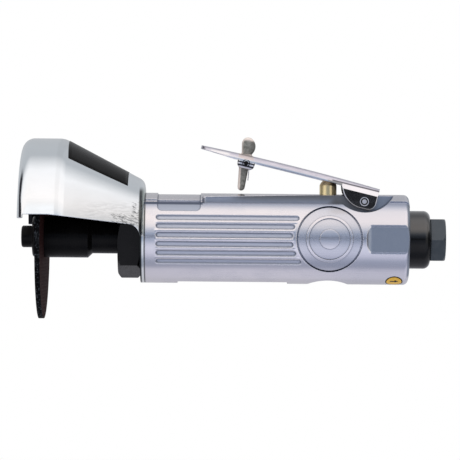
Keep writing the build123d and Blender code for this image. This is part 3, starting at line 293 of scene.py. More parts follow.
def tent_cloth():
    """The tent's glowing material."""
    cloth, tree = bare_material("tent_cloth")
    along, back, up = axes_of(tree, spot_in(tree))
    aside = calc(tree, "ABSOLUTE", calc(tree, "ADD", along, TENT_MIDDLE))
    angle = calc(tree, "DEGREES", calc(tree, "ARCTAN2", up, calc(tree, "MULTIPLY", back, -1.0)))
    lifted = every(tree, span(tree, along, *RAISED_ROOF), span(tree, angle, *ROOF_ANGLES, 0.0, ROOF_RISE))
    colour = tent_bands(tree, calc(tree, "SUBTRACT", angle, lifted))
    before_drum = span(tree, along, *BEFORE_DRUM)
    inlet_end = every(tree, span(tree, along, *INLET_END), within(tree, angle, *INLET_END_ANGLES))
    wheel_end = every(tree, span(tree, along, *WHEEL_END), within(tree, angle, *WHEEL_END_ANGLES))
    for mask, tone in (
        (every(tree, within(tree, angle, *FLANK_ANGLES), span(tree, aside, *FLANK_ASIDE)), FLANK_CLOTH),
        (every(tree, before_drum, within(tree, angle, *WHITE_ANGLES)), WHITE_CLOTH),
        (every(tree, within(tree, angle, *GAP_ANGLES), span(tree, aside, *GAP_ASIDE)), GAP_CLOTH),
        (either(tree, inlet_end, wheel_end), END_CLOTH),
    ):
        colour = mix_colour(tree, mask, colour, tone)
    strength = span(tree, along, *RIGHT_HALF, TENT_BRIGHTEST, RIGHT_LEVEL * TENT_BRIGHTEST)
    for mask, level in (
        (every(tree, span(tree, along, *RIGHT_HALF), within(tree, angle, *DIMMED_ANGLES)), DIMMED_LEVEL),
        (every(tree, span(tree, along, *BARREL_START), within(tree, angle, *LOWER_ANGLES)), LOWER_LEVEL),
        (either(tree, before_drum, within(tree, along, *BESIDE_BARREL)), BESIDE_LEVEL),
    ):
        strength = calc(tree, "MULTIPLY", strength, span(tree, mask, 0.0, 1.0, 1.0, level))
    glow = put(tree, "Emission", {"Color": colour, "Strength": strength})
    put(tree, "OutputMaterial", {"Surface": glow.outputs[0]})
    return cloth


cloth_of_tent = tent_cloth()
print("cloth with", len(cloth_of_tent.node_tree.nodes), "nodes")

# %% [markdown]
# Now the tube itself. A cone with two equal ends is a tube, and Blender makes it upright, so it is laid
# along X. It stays out of the picture and casts no shadow. A backdrop photograph would be simpler to
# hang, but no picture is needed for a few plain cloths.

# %% Hang the tent
TENT_RADIUS = 1.0
TENT_HALF_LENGTH = 2.6
TENT_SEGMENTS = 96


def to_object(name, shape, material):
    """Turn a finished bmesh into an object in the scene that wears a material."""
    mesh = bpy.data.meshes.new(name)
    shape.to_mesh(mesh)
    shape.free()
    mesh.materials.append(material)
    piece = bpy.data.objects.new(name, mesh)
    bpy.context.scene.collection.objects.link(piece)
    return piece


def reflections_only(piece):
    """Hide a piece from all but mirrors."""
    piece.visible_camera = False
    piece.visible_diffuse = False
    piece.visible_transmission = False
    piece.visible_shadow = False


shell = bmesh.new()
bmesh.ops.create_cone(
    shell, segments=TENT_SEGMENTS, radius1=TENT_RADIUS, radius2=TENT_RADIUS, depth=2 * TENT_HALF_LENGTH
)
lay_down = Vector((0, 0, 1)).rotation_difference(Vector((1, 0, 0))).to_matrix()
bmesh.ops.rotate(shell, verts=shell.verts, matrix=lay_down)
tent = to_object("tent", shell, cloth_of_tent)
reflections_only(tent)
print("tent with", len(tent.data.polygons), "faces")

# %% [markdown]
# The tube's two ends are closed by plain dark cloths. They draw the guard's front rim and its rear
# corner as dark lines, which is how an eye tells a turned edge from a flat one. Open ends would show
# the white world.

# %% The tent's ends
TENT_END_LEVELS = {-1: (0.02, 0.02, 0.025, 1), 1: (0.05, 0.05, 0.06, 1)}

for end, level in TENT_END_LEVELS.items():
    cloth, tree = bare_material("tent_end")
    glow = put(tree, "Emission", {"Color": level})
    put(tree, "OutputMaterial", {"Surface": glow.outputs[0]})
    round_cloth = bmesh.new()
    bmesh.ops.create_circle(round_cloth, cap_ends=True, segments=TENT_SEGMENTS, radius=TENT_RADIUS)
    end_cloth = to_object("tent_end", round_cloth, cloth)
    end_cloth.location = (end * TENT_HALF_LENGTH, 0, 0)
    end_cloth.rotation_euler = (0, math.radians(90), 0)
    reflections_only(end_cloth)
print("tent closed at both ends")

# %% [markdown]
# The floor is a pale disc of paper below the picture. A plane with an edge would draw a line across the
# white, so the disc fades out before its rim. It takes the soft shadow and stays out of the
# reflections.

# %% The floor
FLOOR_PLACE = (-0.097, 0, -0.16)
FLOOR_RADIUS = 0.75
FADE_START = 0.5 * FLOOR_RADIUS
PAPER_TONE = (0.93, 0.93, 0.93, 1)

paper, tree = bare_material("floor_paper")
fade = span(tree, number_of(tree, "LENGTH", spot_in(tree)), FADE_START, FLOOR_RADIUS)
matt = put(tree, "BsdfDiffuse", {"Color": PAPER_TONE})
clear = put(tree, "BsdfTransparent")
fading = put(tree, "MixShader", {0: fade, 1: matt.outputs[0], 2: clear.outputs[0]})
put(tree, "OutputMaterial", {"Surface": fading.outputs[0]})

disc = bmesh.new()
bmesh.ops.create_circle(disc, cap_ends=True, segments=TENT_SEGMENTS, radius=FLOOR_RADIUS)
floor = to_object("floor", disc, paper)
floor.location = FLOOR_PLACE
floor.visible_glossy = False
print("floor at", FLOOR_PLACE[2])

# %% [markdown]
# ## Shared surface effects
# Real edges are never knife sharp. They could be bevelled in the mesh, but the solids stay untouched,
# so the Bevel node bends the shading normal near each edge instead. Where the bent normal leaves the
# true one there is an edge, and that difference doubles as a mask for worn places. The group gives
# both.

# %% Group: rounded edges
def start_group(name, inputs, outputs):
    """A node group with its sockets, its input node's outputs and its output node's inputs."""
    group = bpy.data.node_groups.new(name, "ShaderNodeTree")
    for label, kind, value in inputs:
        socket = group.interface.new_socket(label, in_out="INPUT", socket_type="NodeSocket" + kind)
        socket.default_value = value
    for label, kind in outputs:
        group.interface.new_socket(label, in_out="OUTPUT", socket_type="NodeSocket" + kind)
    return group, group.nodes.new("NodeGroupInput").outputs, group.nodes.new("NodeGroupOutput").inputs


EDGE_LIKENESS = (0.98, 0.8)

rounded_edges, given, result = start_group(
    "rounded_edges", [("Radius", "Float", 0.0003)], [("Normal", "Vector"), ("Edge", "Float")]
)
bend = put(rounded_edges, "Bevel", {"Radius": given["Radius"]}, samples=6)
true_normal = put(rounded_edges, "NewGeometry").outputs["Normal"]
likeness = number_of(rounded_edges, "DOT_PRODUCT", bend.outputs[0], true_normal)
feed(rounded_edges, result["Normal"], bend.outputs[0])
feed(rounded_edges, result["Edge"], span(rounded_edges, likeness, *EDGE_LIKENESS))
print("group", rounded_edges.name)

# %% [markdown]
# Shade falls into corners, creases and recesses, and the finishes paint it into their colour there. The
# places could be painted one by one. Ambient occlusion over a millimetre or so finds them all: how much of
# the sky a point is denied by its own neighbours.

# %% Group: painted crevice shade
SKY_LIMITS = (0.94, 0.50)

painted_crevice_shade, given, result = start_group("painted_crevice_shade", [("Reach", "Float", 0.001)], [("Mask", "Float")])
open_sky = put(painted_crevice_shade, "AmbientOcclusion", {"Distance": given["Reach"]}, samples=8, only_local=True)
feed(painted_crevice_shade, result["Mask"], span(painted_crevice_shade, open_sky.outputs["AO"], *SKY_LIMITS))
print("group", painted_crevice_shade.name)

# %% [markdown]
# Grain is fine noise at the size that the metal shows: tenths of a millimetre on a casting, less on
# plating. Lines are the same noise pulled long in one direction, which is what a lathe, a belt or a mop
# leaves. Marks are large soft patches, where hands and cloths have changed the gloss. Scanned textures
# could give all three, but noise needs no file and has no seam.

# %% Groups: grain, lines and marks
BROAD_SHARE = 0.23
GRAIN_LIMITS, STREAK_LIMITS, MARK_LIMITS = (0.3, 0.7), (0.35, 0.65), (0.42, 0.68)

grain, given, result = start_group(
    "grain", [("Fineness", "Float", 2500.0)], [("Height", "Float"), ("Tone", "Float")]
)
spot = spot_in(grain)
fine = put(grain, "TexNoise", {"Vector": spot, "Scale": given["Fineness"], "Detail": 3.0, "Roughness": 0.6})
broad_scale = calc(grain, "MULTIPLY", given["Fineness"], BROAD_SHARE)
broad = put(grain, "TexNoise", {"Vector": spot, "Scale": broad_scale, "Detail": 2.0})
feed(grain, result["Height"], fine.outputs["Fac"])
feed(grain, result["Tone"], span(grain, broad.outputs["Fac"], *GRAIN_LIMITS))

lines, given, result = start_group(
    "lines", [("Stretch", "Vector", (60.0, 3000.0, 3000.0))], [("Height", "Float"), ("Tone", "Float")]
)
pulled = vector_of(lines, "MULTIPLY", spot_in(lines), given["Stretch"])
streak = put(lines, "TexNoise", {"Vector": pulled, "Scale": 1.0, "Detail": 4.0, "Roughness": 0.65})
feed(lines, result["Height"], streak.outputs["Fac"])
feed(lines, result["Tone"], span(lines, streak.outputs["Fac"], *STREAK_LIMITS))

marks, given, result = start_group("marks", [("Fineness", "Float", 60.0)], [("Mask", "Float")])
patch = put(marks, "TexNoise", {
    "Vector": spot_in(marks), "Scale": given["Fineness"], "Detail": 5.0, "Roughness": 0.62, "Distortion": 0.6,
})
feed(marks, result["Mask"], span(marks, patch.outputs["Fac"], *MARK_LIMITS))
print("groups", grain.name, lines.name, marks.name)

# %% [markdown]
# ## One recipe for most finishes
# Steel, chrome, brass and moulded black differ in their values more than in their build. Each could be wired
# on its own, but then every correction is made ten times. The recipe takes a base colour and the colour of
# its marks, its worn edges and the painted shade in its crevices, the range of its roughness, and the size of
# its grain and lines.

# %% The finish recipe
LINE_SHARE, MARK_SHARE = 0.5, 0.5


def use(tree, group, **values):
    """Place a node group and fill its inputs."""
    node = tree.nodes.new("ShaderNodeGroup")
    node.node_tree = group
    for name, value in values.items():
        feed(tree, node.inputs[name], value)
    return node.outputs


def finish(name, base, marked, crevice_shade, worn, rough, metallic=1.0, specular=0.5, radius=0.00025,
           reach=0.0008, fineness=2500.0, grain_depth=0.000004, stretch=(60.0, 3000.0, 3000.0),
           line_depth=0.000002, patch=70.0):
    """A material with marks, worn edges, painted shade in its crevices, grain and lines. Colours are linear.
    """
    material = bpy.data.materials.new(name)
    material.use_nodes = True
    tree = material.node_tree
    shader = tree.nodes["Principled BSDF"]
    shader.inputs["Metallic"].default_value = metallic
    shader.inputs["Specular IOR Level"].default_value = specular
    edges = use(tree, rounded_edges, Radius=radius)
    crevice_shading = use(tree, painted_crevice_shade, Reach=reach)
    speck = use(tree, grain, Fineness=fineness)
    drawn = use(tree, lines, Stretch=stretch)
    hand = use(tree, marks, Fineness=patch)
    colour = mix_colour(tree, hand["Mask"], (*base, 1), (*marked, 1))
    colour = mix_colour(tree, edges["Edge"], colour, (*worn, 1))
    # Painted shade: the crevice colour darkens corners and recesses that ambient occlusion finds.
    colour = mix_colour(tree, crevice_shading["Mask"], colour, (*crevice_shade, 1))
    feed(tree, shader.inputs["Base Color"], colour)
    uneven = calc(tree, "MULTIPLY", hand["Mask"], MARK_SHARE)
    uneven = calc(tree, "MULTIPLY_ADD", drawn["Tone"], LINE_SHARE, uneven)
    feed(tree, shader.inputs["Roughness"], span(tree, uneven, 0.0, 1.0, *rough))
    low = put(tree, "Bump", {"Height": drawn["Height"], "Distance": line_depth, "Normal": edges["Normal"]})
    high = put(tree, "Bump", {"Height": speck["Height"], "Distance": grain_depth, "Normal": low.outputs[0]})
    feed(tree, shader.inputs["Normal"], high.outputs[0])
    return material


def wear(material, *names):
    """Put a material on solids."""
    for name in names:
        nodes[name].material_slots[0].material = material
    print(material.name, "on", ", ".join(names))


print("finish recipe ready")

# %% [markdown]
# Many places need one more coat: a darker floor, a brighter edge, a duller stretch. The recipe could
# take more and more values for them. It is simpler to mix one tone over the colour that is already
# there, where a mask holds, and to add to the roughness in the same way. Coats then lie over each other
# in the order of the lines.

# %% Coats over a finish
def input_of(tree, name):
    """One input of a finish's shader."""
    return tree.nodes["Principled BSDF"].inputs[name]


def repaint(tree, mask, tone):
    """Mix a tone over the colour where a mask holds."""
    socket = input_of(tree, "Base Color")
    feed(tree, socket, mix_colour(tree, mask, socket.links[0].from_socket, tone))


def roughen(tree, mask, amount):
    """Add to the roughness where a mask holds."""
    socket = input_of(tree, "Roughness")
    feed(tree, socket, calc(tree, "MULTIPLY_ADD", mask, amount, socket.links[0].from_socket))


print("coats ready")

# %% [markdown]
# ## The housing
# The barrel is die-cast aluminium with its high places polished. A mop leaves long fine lines along the
# tool and soft patches of gloss. A mirror with one roughness all over would look too clean, so the
# recipe's lines and marks break the reflections up a little.

# %% Polished casting
BODY_EDGE, BODY_REACH = 0.0004, 0.0011

body = finish(
    "polished_body", base=(0.88, 0.855, 0.885), marked=(0.83, 0.815, 0.855), crevice_shade=(0.14, 0.16, 0.22),
    worn=(0.95, 0.945, 0.96), rough=(0.19, 0.30), radius=BODY_EDGE, reach=BODY_REACH, fineness=2200.0,
    grain_depth=0.000003, stretch=(45.0, 2600.0, 2600.0), line_depth=0.000003, patch=48.0,
)
wear(body, "motor_housing")

# %% [markdown]
# Three measures serve the round pieces: the way from the tool's axis to a place, how far a face looks
# away from that axis, and the distance from the medallion. Each could be worked out where it is used,
# but the housing, the guard and the wheel all ask for them.

# %% Measures on round pieces
MEDALLION_X = -0.0534


def off_axis(tree):
    """The way from the tool's axis to the place."""
    _, y, z = axes_of(tree, spot_in(tree))
    return put(tree, "CombineXYZ", {"Y": y, "Z": z}).outputs[0]


def facing_out(tree):
    """One where a face looks away from the tool's axis, minus one where it looks at it."""
    outward = vector_of(tree, "NORMALIZE", off_axis(tree))
    return number_of(tree, "DOT_PRODUCT", outward, put(tree, "TexCoord").outputs["Normal"])


def from_medallion(tree, x, z):
    """The distance from the medallion's middle, seen from the side."""
    apart = put(tree, "CombineXYZ", {"X": calc(tree, "SUBTRACT", x, MEDALLION_X), "Z": z})
    return number_of(tree, "LENGTH", apart.outputs[0])


print("three measures ready")

# %% [markdown]
# The mop slides over the grooves, the medallion, the side panel and the ledges beside the rail, so they
# keep the duller, bluer skin of the casting. A painted mask would have to be drawn by hand. Distance
# from the tool's axis does it by itself: what lies deeper than the barrel's skin was never reached.
# Walls are found by the way they face, and a few windows along the tool name the parts.

# %% Find the cast floors
BARREL_RADIUS = 0.0207
BARREL_FRONT = -0.1374
# Where each soft step starts and where it is full, in metres
FLOOR_DEPTH = (BARREL_RADIUS - 0.00026, BARREL_RADIUS - 0.00036)
WALL_DEPTH = (BARREL_RADIUS - 0.00002, BARREL_RADIUS - 0.00010)
SEAM_X = (BARREL_FRONT + 0.0007, BARREL_FRONT + 0.0004)
FRONT_BLOCK_X, BLOCK_TOP_Z, ABOVE_CREASE_Z = (-0.1106, -0.1114), (0.0164, 0.0168), (0.0154, 0.0160)
SIDE_FOOT_Z, FLANK_START_Z, FLANK_END_Z = (-0.0175, -0.0160), (0.0122, 0.0162), (0.0177, 0.0170)
GROOVE_REAR_X, GROOVE_TOP_Z, GROOVE_APART = (-0.0635, -0.0645), (0.0125, 0.0118), (0.0150, 0.0153)
POCKET_FRONT_X, POCKET_REAR_X, POCKET_Z = (-0.056, -0.050), (-0.0300, -0.0360), (0.0105, 0.0125)
RAIL_Z, REAR_X, FLATS_X = (0.0158, 0.0195), (-0.075, -0.035), (-0.0375, -0.0360)
# From, to and how soft, in metres
CREASE_Z, RAIL_X, WALLS_X = (0.0153, 0.0162, 0.0003), (-0.092, -0.050, 0.009), (-0.1328, -0.0385, 0.0005)
# Inside the medallion's rim the floor keeps about a third of its dullness
MEDALLION_RIM, MEDALLION_SHARE = (0.0148, 0.0156), 0.35
WALL_FACING = (0.84, 0.66)


def casting_masks(tree):
    """Masks of the housing's places, by name."""
    x, _, z = axes_of(tree, spot_in(tree))
    depth = number_of(tree, "LENGTH", off_axis(tree))
    apart = from_medallion(tree, x, z)
    block = span(tree, x, *FRONT_BLOCK_X)
    block_top = every(tree, block, span(tree, z, *BLOCK_TOP_Z))
    side = calc(tree, "SUBTRACT", span(tree, z, *SIDE_FOOT_Z), block_top)
    outside = span(tree, apart, *MEDALLION_RIM, MEDALLION_SHARE, 1.0)
    rail = every(tree, within(tree, x, *RAIL_X), span(tree, z, *RAIL_Z))
    pocket = every(
        tree, span(tree, x, *POCKET_FRONT_X), span(tree, x, *POCKET_REAR_X), span(tree, z, *POCKET_Z)
    )
    flank = every(tree, span(tree, z, *FLANK_START_Z), span(tree, z, *FLANK_END_Z))
    above_crease = every(tree, block, span(tree, z, *ABOVE_CREASE_Z))
    groove_ends = every(tree, span(tree, x, *GROOVE_REAR_X), span(tree, z, *GROOVE_TOP_Z))
    steep = every(tree, span(tree, facing_out(tree), *WALL_FACING), within(tree, x, *WALLS_X))
    return {
        "rear": span(tree, x, *REAR_X),
        "flank": calc(tree, "MAXIMUM", calc(tree, "SUBTRACT", flank, above_crease), 0.0),
        "floors": every(tree, span(tree, depth, *FLOOR_DEPTH), side, outside),
        "grooves": every(tree, groove_ends, span(tree, apart, *GROOVE_APART)),
        "flats": span(tree, x, *FLATS_X),
        # The rail and the pocket get painted shade.
        "shaded_rail_pocket": either(tree, rail, pocket),
        "walls": every(tree, steep, span(tree, depth, *WALL_DEPTH), side),
        "seam": span(tree, x, *SEAM_X),
        "crease": every(tree, block, within(tree, z, *CREASE_Z)),
    }


housing_masks = casting_masks(body.node_tree)
print("masks", ", ".join(housing_masks))

# %% [markdown]
# With the places found, the coats follow: painted shade that darkens the skin towards the rear and on the
# flank, the casting's dull blue grey on the floors, its lighter grooves and darker wrench flats, painted
# shade on the rail and in the pocket behind the lever, grey walls, a dark line at the seam with the guard,
# and a painted shade line under the rail's front block. Painted shade in the corners goes on last.

# %% Paint the cast floors and the shade
# The rear, flank and crevice tones are painted shade. The soot tone is painted shade on the rail and in the
# pocket, and also the colour of the dark joint at the seam.
REAR_SHADE_TONE = (0.78, 0.775, 0.83, 1)
FLANK_SHADE_TONE = (0.49, 0.53, 0.65, 1)
CAST_TONE = (0.48, 0.525, 0.62, 1)
GROOVE_TONE = (0.66, 0.69, 0.77, 1)
WALL_TONE = (0.46, 0.49, 0.56, 1)
FLAT_TONE = (0.38, 0.425, 0.50, 1)
SHADE_AND_JOINT_TONE = (0.24, 0.24, 0.245, 1)
CREVICE_SHADE_TONE = (0.15, 0.175, 0.24, 1)
CAST_FINENESS = 4000.0
CAST_ROUGH, CAST_ROUGH_RANGE, GROOVE_ROUGH = 0.36, 0.06, 0.16
GROOVE_EDGE = 0.0008


def paint_floors(tree, masks):
    """Give the places below the barrel's skin the dull face of the casting, and paint shade towards the rear,
    on the flank, on the rail and pocket, in the crease and in the corners.
    """
    cast = mix_colour(tree, masks["grooves"], CAST_TONE, GROOVE_TONE)
    cast = mix_colour(tree, masks["flats"], cast, FLAT_TONE)
    cast = mix_colour(tree, masks["shaded_rail_pocket"], cast, SHADE_AND_JOINT_TONE)
    # Painted shade: darker and cooler towards the rear and on the upper flank.
    repaint(tree, masks["rear"], REAR_SHADE_TONE)
    repaint(tree, masks["flank"], FLANK_SHADE_TONE)
    repaint(tree, masks["floors"], cast)
    repaint(tree, masks["walls"], WALL_TONE)
    # Painted shade on the walls of the rail and pocket, then the dark joint at the seam.
    repaint(tree, every(tree, masks["walls"], masks["shaded_rail_pocket"]), SHADE_AND_JOINT_TONE)
    repaint(tree, masks["seam"], SHADE_AND_JOINT_TONE)
    # Painted shade in the crease under the rail's front block, then in every corner.
    repaint(tree, masks["crease"], CREVICE_SHADE_TONE)
    repaint(tree, use(tree, painted_crevice_shade, Reach=BODY_REACH)["Mask"], CREVICE_SHADE_TONE)
    smooth = input_of(tree, "Roughness").links[0].from_socket
    speck = use(tree, grain, Fineness=CAST_FINENESS)["Tone"]
    dull = calc(tree, "MULTIPLY_ADD", speck, CAST_ROUGH_RANGE, CAST_ROUGH)
    dull = calc(tree, "MULTIPLY_ADD", masks["grooves"], GROOVE_ROUGH, dull)
    roughen(tree, masks["floors"], calc(tree, "SUBTRACT", dull, smooth))
    edges = next(node for node in tree.nodes if node.type == "GROUP" and node.node_tree == rounded_edges)
    feed(tree, edges.inputs["Radius"], span(tree, masks["grooves"], 0.0, 1.0, BODY_EDGE, GROOVE_EDGE))


paint_floors(body.node_tree, housing_masks)
print("cast floors painted")

# %% [markdown]
# The strips between the grooves aren't flat: the mop rounds them, so each carries its own bright line.
# The solid's strips follow the barrel, and its mesh stays as it is. A bump that rises to the middle of
# each strip, counted by the angle round the barrel, bends the light in the same way.

# %% Crowned lands
LAND_MID_ANGLE, LAND_PITCH, LAND_SHARE, LAND_CROWN = -2.0, 11.6, 0.38, 0.0002
LAND_APART, LANDS_X, LANDS_ANGLE = (0.0155, 0.0175), (-0.131, -0.060, 0.002), (-28.0, 24.0, 1.5)


def crown_lands(tree):
    """Round the strips between the grooves."""
    x, y, z = axes_of(tree, spot_in(tree))
    angle = calc(tree, "DEGREES", calc(tree, "ARCTAN2", z, calc(tree, "ABSOLUTE", y)))
    count = calc(tree, "DIVIDE", calc(tree, "SUBTRACT", angle, LAND_MID_ANGLE), LAND_PITCH)
    off = calc(tree, "ABSOLUTE", calc(tree, "SUBTRACT", count, calc(tree, "ROUND", count)))
    edge = calc(tree, "MINIMUM", calc(tree, "DIVIDE", off, LAND_SHARE / 2), 1.0)
    crown = calc(tree, "SUBTRACT", 1.0, calc(tree, "MULTIPLY", edge, edge))
    ends = every(tree, span(tree, from_medallion(tree, x, z), *LAND_APART), within(tree, x, *LANDS_X))
    height = every(tree, crown, every(tree, ends, within(tree, angle, *LANDS_ANGLE)))
    normal = input_of(tree, "Normal")
    flat = normal.links[0].from_socket
    rounded = put(tree, "Bump", {"Height": height, "Distance": LAND_CROWN, "Normal": flat})
    feed(tree, normal, rounded.outputs[0])


crown_lands(body.node_tree)
print("lands crowned by", LAND_CROWN, "m")

# %% [markdown]
# ## The guard
# The guard is pressed from sheet and plated. Plating is close to a mirror, smoother than the barrel and
# a touch cooler. A perfect mirror could do, but pressed sheet is never quite even, so broad faint lines
# stay.

# %% Plated guard
guard_chrome = finish(
    "chrome_guard", base=(0.91, 0.955, 0.985), marked=(0.88, 0.92, 0.945), crevice_shade=(0.20, 0.21, 0.22),
    worn=(0.94, 0.95, 0.96), rough=(0.07, 0.16), radius=0.0005, reach=0.0012, fineness=1600.0,
    grain_depth=0.000002, stretch=(70.0, 900.0, 900.0), line_depth=0.000003, patch=32.0,
)
wear(guard_chrome, "wheel_guard")

# %% [markdown]
# Short dark dashes of painted reflection lie on the plating, densest near the rear lower corner, and they are
# a little rougher than the rest. They could be drawn one by one. Noise that is pulled long and leaned gives
# dashes, and a mask of nearness decides how many of them come through.

# %% Painted dark reflection on the guard
DASH_LEAN = math.radians(-24)
DASH_EDGE_X, DASH_EDGE_Z = (-0.1500, -0.1410, 0.006), (0.0060, 0.0095, 0.003)
DASH_CORNER_X, DASH_CORNER_Z = (-0.1420, -0.1394, 0.002), (0.0060, 0.0145, 0.003)
DASH_CLOUD_X, DASH_CLOUD_Z = (-0.160, -0.1410, 0.010), (0.0060, 0.0135, 0.004)
DASH_PULL, CLOUD_PULL = (520.0, 520.0, 2400.0), (210.0, 300.0, 1100.0)
DASH_NEARNESS, DASH_LIMITS, DASH_DARKEST, CLOUD_DARKEST = 0.30, (0.75, 0.93), 0.82, 0.15
DARK_REFLECTION_TONE, DASH_ROUGH = (0.17, 0.18, 0.19, 1), 0.22


def dark_reflection_dashes(tree):
    """Short dashes of painted dark reflection towards the guard's rear lower corner."""
    spot = spot_in(tree)
    x, _, z = axes_of(tree, spot)
    edge = every(tree, within(tree, x, *DASH_EDGE_X), within(tree, z, *DASH_EDGE_Z))
    corner = every(tree, within(tree, x, *DASH_CORNER_X), within(tree, z, *DASH_CORNER_Z))
    around = every(tree, within(tree, x, *DASH_CLOUD_X), within(tree, z, *DASH_CLOUD_Z))
    leaning = put(tree, "VectorRotate", {"Vector": spot, "Angle": DASH_LEAN}, rotation_type="Y_AXIS")
    pulled = vector_of(tree, "MULTIPLY", leaning.outputs[0], DASH_PULL)
    dash_noise = put(tree, "TexNoise", {"Vector": pulled, "Scale": 1.0, "Detail": 2.0}).outputs["Fac"]
    near = calc(tree, "MULTIPLY_ADD", either(tree, edge, corner), DASH_NEARNESS, dash_noise)
    dashes = span(tree, near, *DASH_LIMITS, 0.0, DASH_DARKEST)
    cloud = every(tree, around, use(tree, lines, Stretch=CLOUD_PULL)["Tone"], CLOUD_DARKEST)
    dark_reflection = either(tree, dashes, cloud)
    # Painted reflection: dark dashes and a faint cloud, made a little rougher.
    repaint(tree, dark_reflection, DARK_REFLECTION_TONE)
    roughen(tree, dark_reflection, DASH_ROUGH)


dark_reflection_dashes(guard_chrome.node_tree)
print("haze on the guard")

# %% [markdown]
# Where the guard's back plate meets the barrel its rim is rolled. The roll is under a millimetre wide, too
# small for the tent to draw well, so its reflections are painted on by place: above the axis a painted dark
# reflection that turns grey, below it a painted highlight line down its middle between painted dark bands.

# %% Painted reflections on the rim of the back plate
RIM_X, RIM_TOP_Z, RIM_TURN_Z = (-0.1399, -0.1393), (0.0235, 0.0205), (0.0022, 0.0002)
ROLL_X, RIM_LINE_X = (-0.1388, -0.1378), (-0.1382, -0.1377, 0.0005)
ROLL_DARK, ROLL_GREY = (0.12, 0.13, 0.13, 1), (0.44, 0.50, 0.47, 1)
LINE_DARK, LINE_BRIGHT = (0.04, 0.045, 0.045, 1), (0.95, 0.98, 0.96, 1)


def plate_rim(tree):
    """Paint the rolled rim's reflections: dark above the axis, a bright line below it."""
    x, _, z = axes_of(tree, spot_in(tree))
    upper = mix_colour(tree, span(tree, x, *ROLL_X), ROLL_DARK, ROLL_GREY)
    lower = mix_colour(tree, within(tree, x, *RIM_LINE_X), LINE_DARK, LINE_BRIGHT)
    tone = mix_colour(tree, span(tree, z, *RIM_TURN_Z), upper, lower)
    repaint(tree, every(tree, span(tree, x, *RIM_X), span(tree, z, *RIM_TOP_Z)), tone)


plate_rim(guard_chrome.node_tree)
print("rim drawn from x", RIM_X[0])

# %% [markdown]
# The hollow side is made dark and dull. A second material on the inner faces would need the mesh to change.
# The faces that look at the tool's axis are the inner ones, and the object's own normal tells them even when
# the guard is turned.

# %% Dark inside
INSIDE_FACING = (-0.1, -0.3)
INSIDE_TONE, INSIDE_ROUGH = (0.022, 0.022, 0.024, 1), 0.4


def dark_inside(tree):
    """Turn the faces that look at the tool's axis dark and dull."""
    inside = span(tree, facing_out(tree), *INSIDE_FACING)
    repaint(tree, inside, INSIDE_TONE)
    roughen(tree, inside, INSIDE_ROUGH)


dark_inside(guard_chrome.node_tree)
print("inside of the guard darkened")

# %% [markdown]
# ## Black steel
# The nut, the catch's pin, the arbor, the flange and the bolt are blackened by a hot salt bath that
# leaves a skin a micron thick. A dark metal would mirror the tent, but the skin is not metal to the eye:
# it reflects little, and shows a greyer steel at rubbed edges. The pieces that turn with the wheel are
# duller than the nut, so two finishes share most of their values.

# %% Black oxide
BLACK_OXIDE = dict(
    crevice_shade=(0.0015, 0.0015, 0.0015), worn=(0.030, 0.028, 0.029), rough=(0.22, 0.36), metallic=0.0,
    radius=0.0004, fineness=3000.0, stretch=(2600.0, 160.0, 160.0), line_depth=0.000004, patch=120.0,
)
black_steel = finish(
    "black_steel", base=(0.0040, 0.0037, 0.0040), marked=(0.007, 0.0065, 0.007), specular=0.18,
    **BLACK_OXIDE,
)
turned_black = finish(
    "turned_black", base=(0.0036, 0.0032, 0.0034), marked=(0.006, 0.0054, 0.0056), specular=0.11,
    **BLACK_OXIDE,
)
wear(black_steel, "clamp_nut", "catch_pin")
wear(turned_black, "arbor", "outer_flange", "wheel_bolt")

# %% [markdown]
# ## The cutting wheel
# The wheel is brown abrasive grit in resin between two layers of glass mesh. The mesh is woven, so its
# threads cross as diamonds and press into both faces. Geometry for every thread would be tens of
# thousands of faces. Two wave patterns turned against each other give the crossing threads, and a cell
# pattern gives the grit.

# %% Abrasive and glass mesh
THREAD_PITCH, THREAD_LIMITS = 0.0022, (0.72, 0.98)
WEAVE_WAYS = ((0, 0.707, 0.707), (0, 0.707, -0.707))
RIM_RADII, GRIT_SCALE, SPARKLE_LIMITS = (0.0371, 0.0374), 3600.0, (0.78, 0.90)
RESIN_TONE, THREAD_TONE = (0.026, 0.0095, 0.009, 1), (0.043, 0.016, 0.015, 1)
EDGE_TONE, SPARKLE_TONE = (0.004, 0.004, 0.005, 1), (0.15, 0.17, 0.20, 1)
RESIN_GLOSS, RESIN_ROUGH, THREAD_ROUGH = 0.03, 0.85, 0.62
RELIEF_DEPTH, GRIT_RELIEF, THREAD_RELIEF = 0.00016, 0.6, 0.5


def thread_wave(tree, spot, direction):
    """How close a point is to the nearest thread of one direction, from zero to one."""
    along = number_of(tree, "DOT_PRODUCT", spot, direction)
    wave = calc(tree, "SINE", calc(tree, "MULTIPLY", along, math.pi / THREAD_PITCH))
    return span(tree, calc(tree, "ABSOLUTE", wave), *THREAD_LIMITS)


abrasive = bpy.data.materials.new("wheel_resin")
abrasive.use_nodes = True
tree = abrasive.node_tree
spot = spot_in(tree)
weave = either(tree, *(thread_wave(tree, spot, way) for way in WEAVE_WAYS))
rim = span(tree, number_of(tree, "LENGTH", off_axis(tree)), *RIM_RADII)
grit = put(tree, "TexVoronoi", {"Vector": spot, "Scale": GRIT_SCALE})
face = mix_colour(tree, weave, RESIN_TONE, THREAD_TONE)
rim_tone = mix_colour(tree, span(tree, grit.outputs["Color"], *SPARKLE_LIMITS), EDGE_TONE, SPARKLE_TONE)
feed(tree, input_of(tree, "Base Color"), mix_colour(tree, rim, face, rim_tone))
input_of(tree, "Specular IOR Level").default_value = RESIN_GLOSS
feed(tree, input_of(tree, "Roughness"), span(tree, weave, 0.0, 1.0, RESIN_ROUGH, THREAD_ROUGH))
raised = calc(tree, "MULTIPLY", weave, THREAD_RELIEF)
rough_face = calc(tree, "MULTIPLY_ADD", grit.outputs["Distance"], GRIT_RELIEF, raised)
relief = put(tree, "Bump", {"Height": rough_face, "Distance": RELIEF_DEPTH})
feed(tree, input_of(tree, "Normal"), relief.outputs[0])
wear(abrasive, "cutting_wheel")
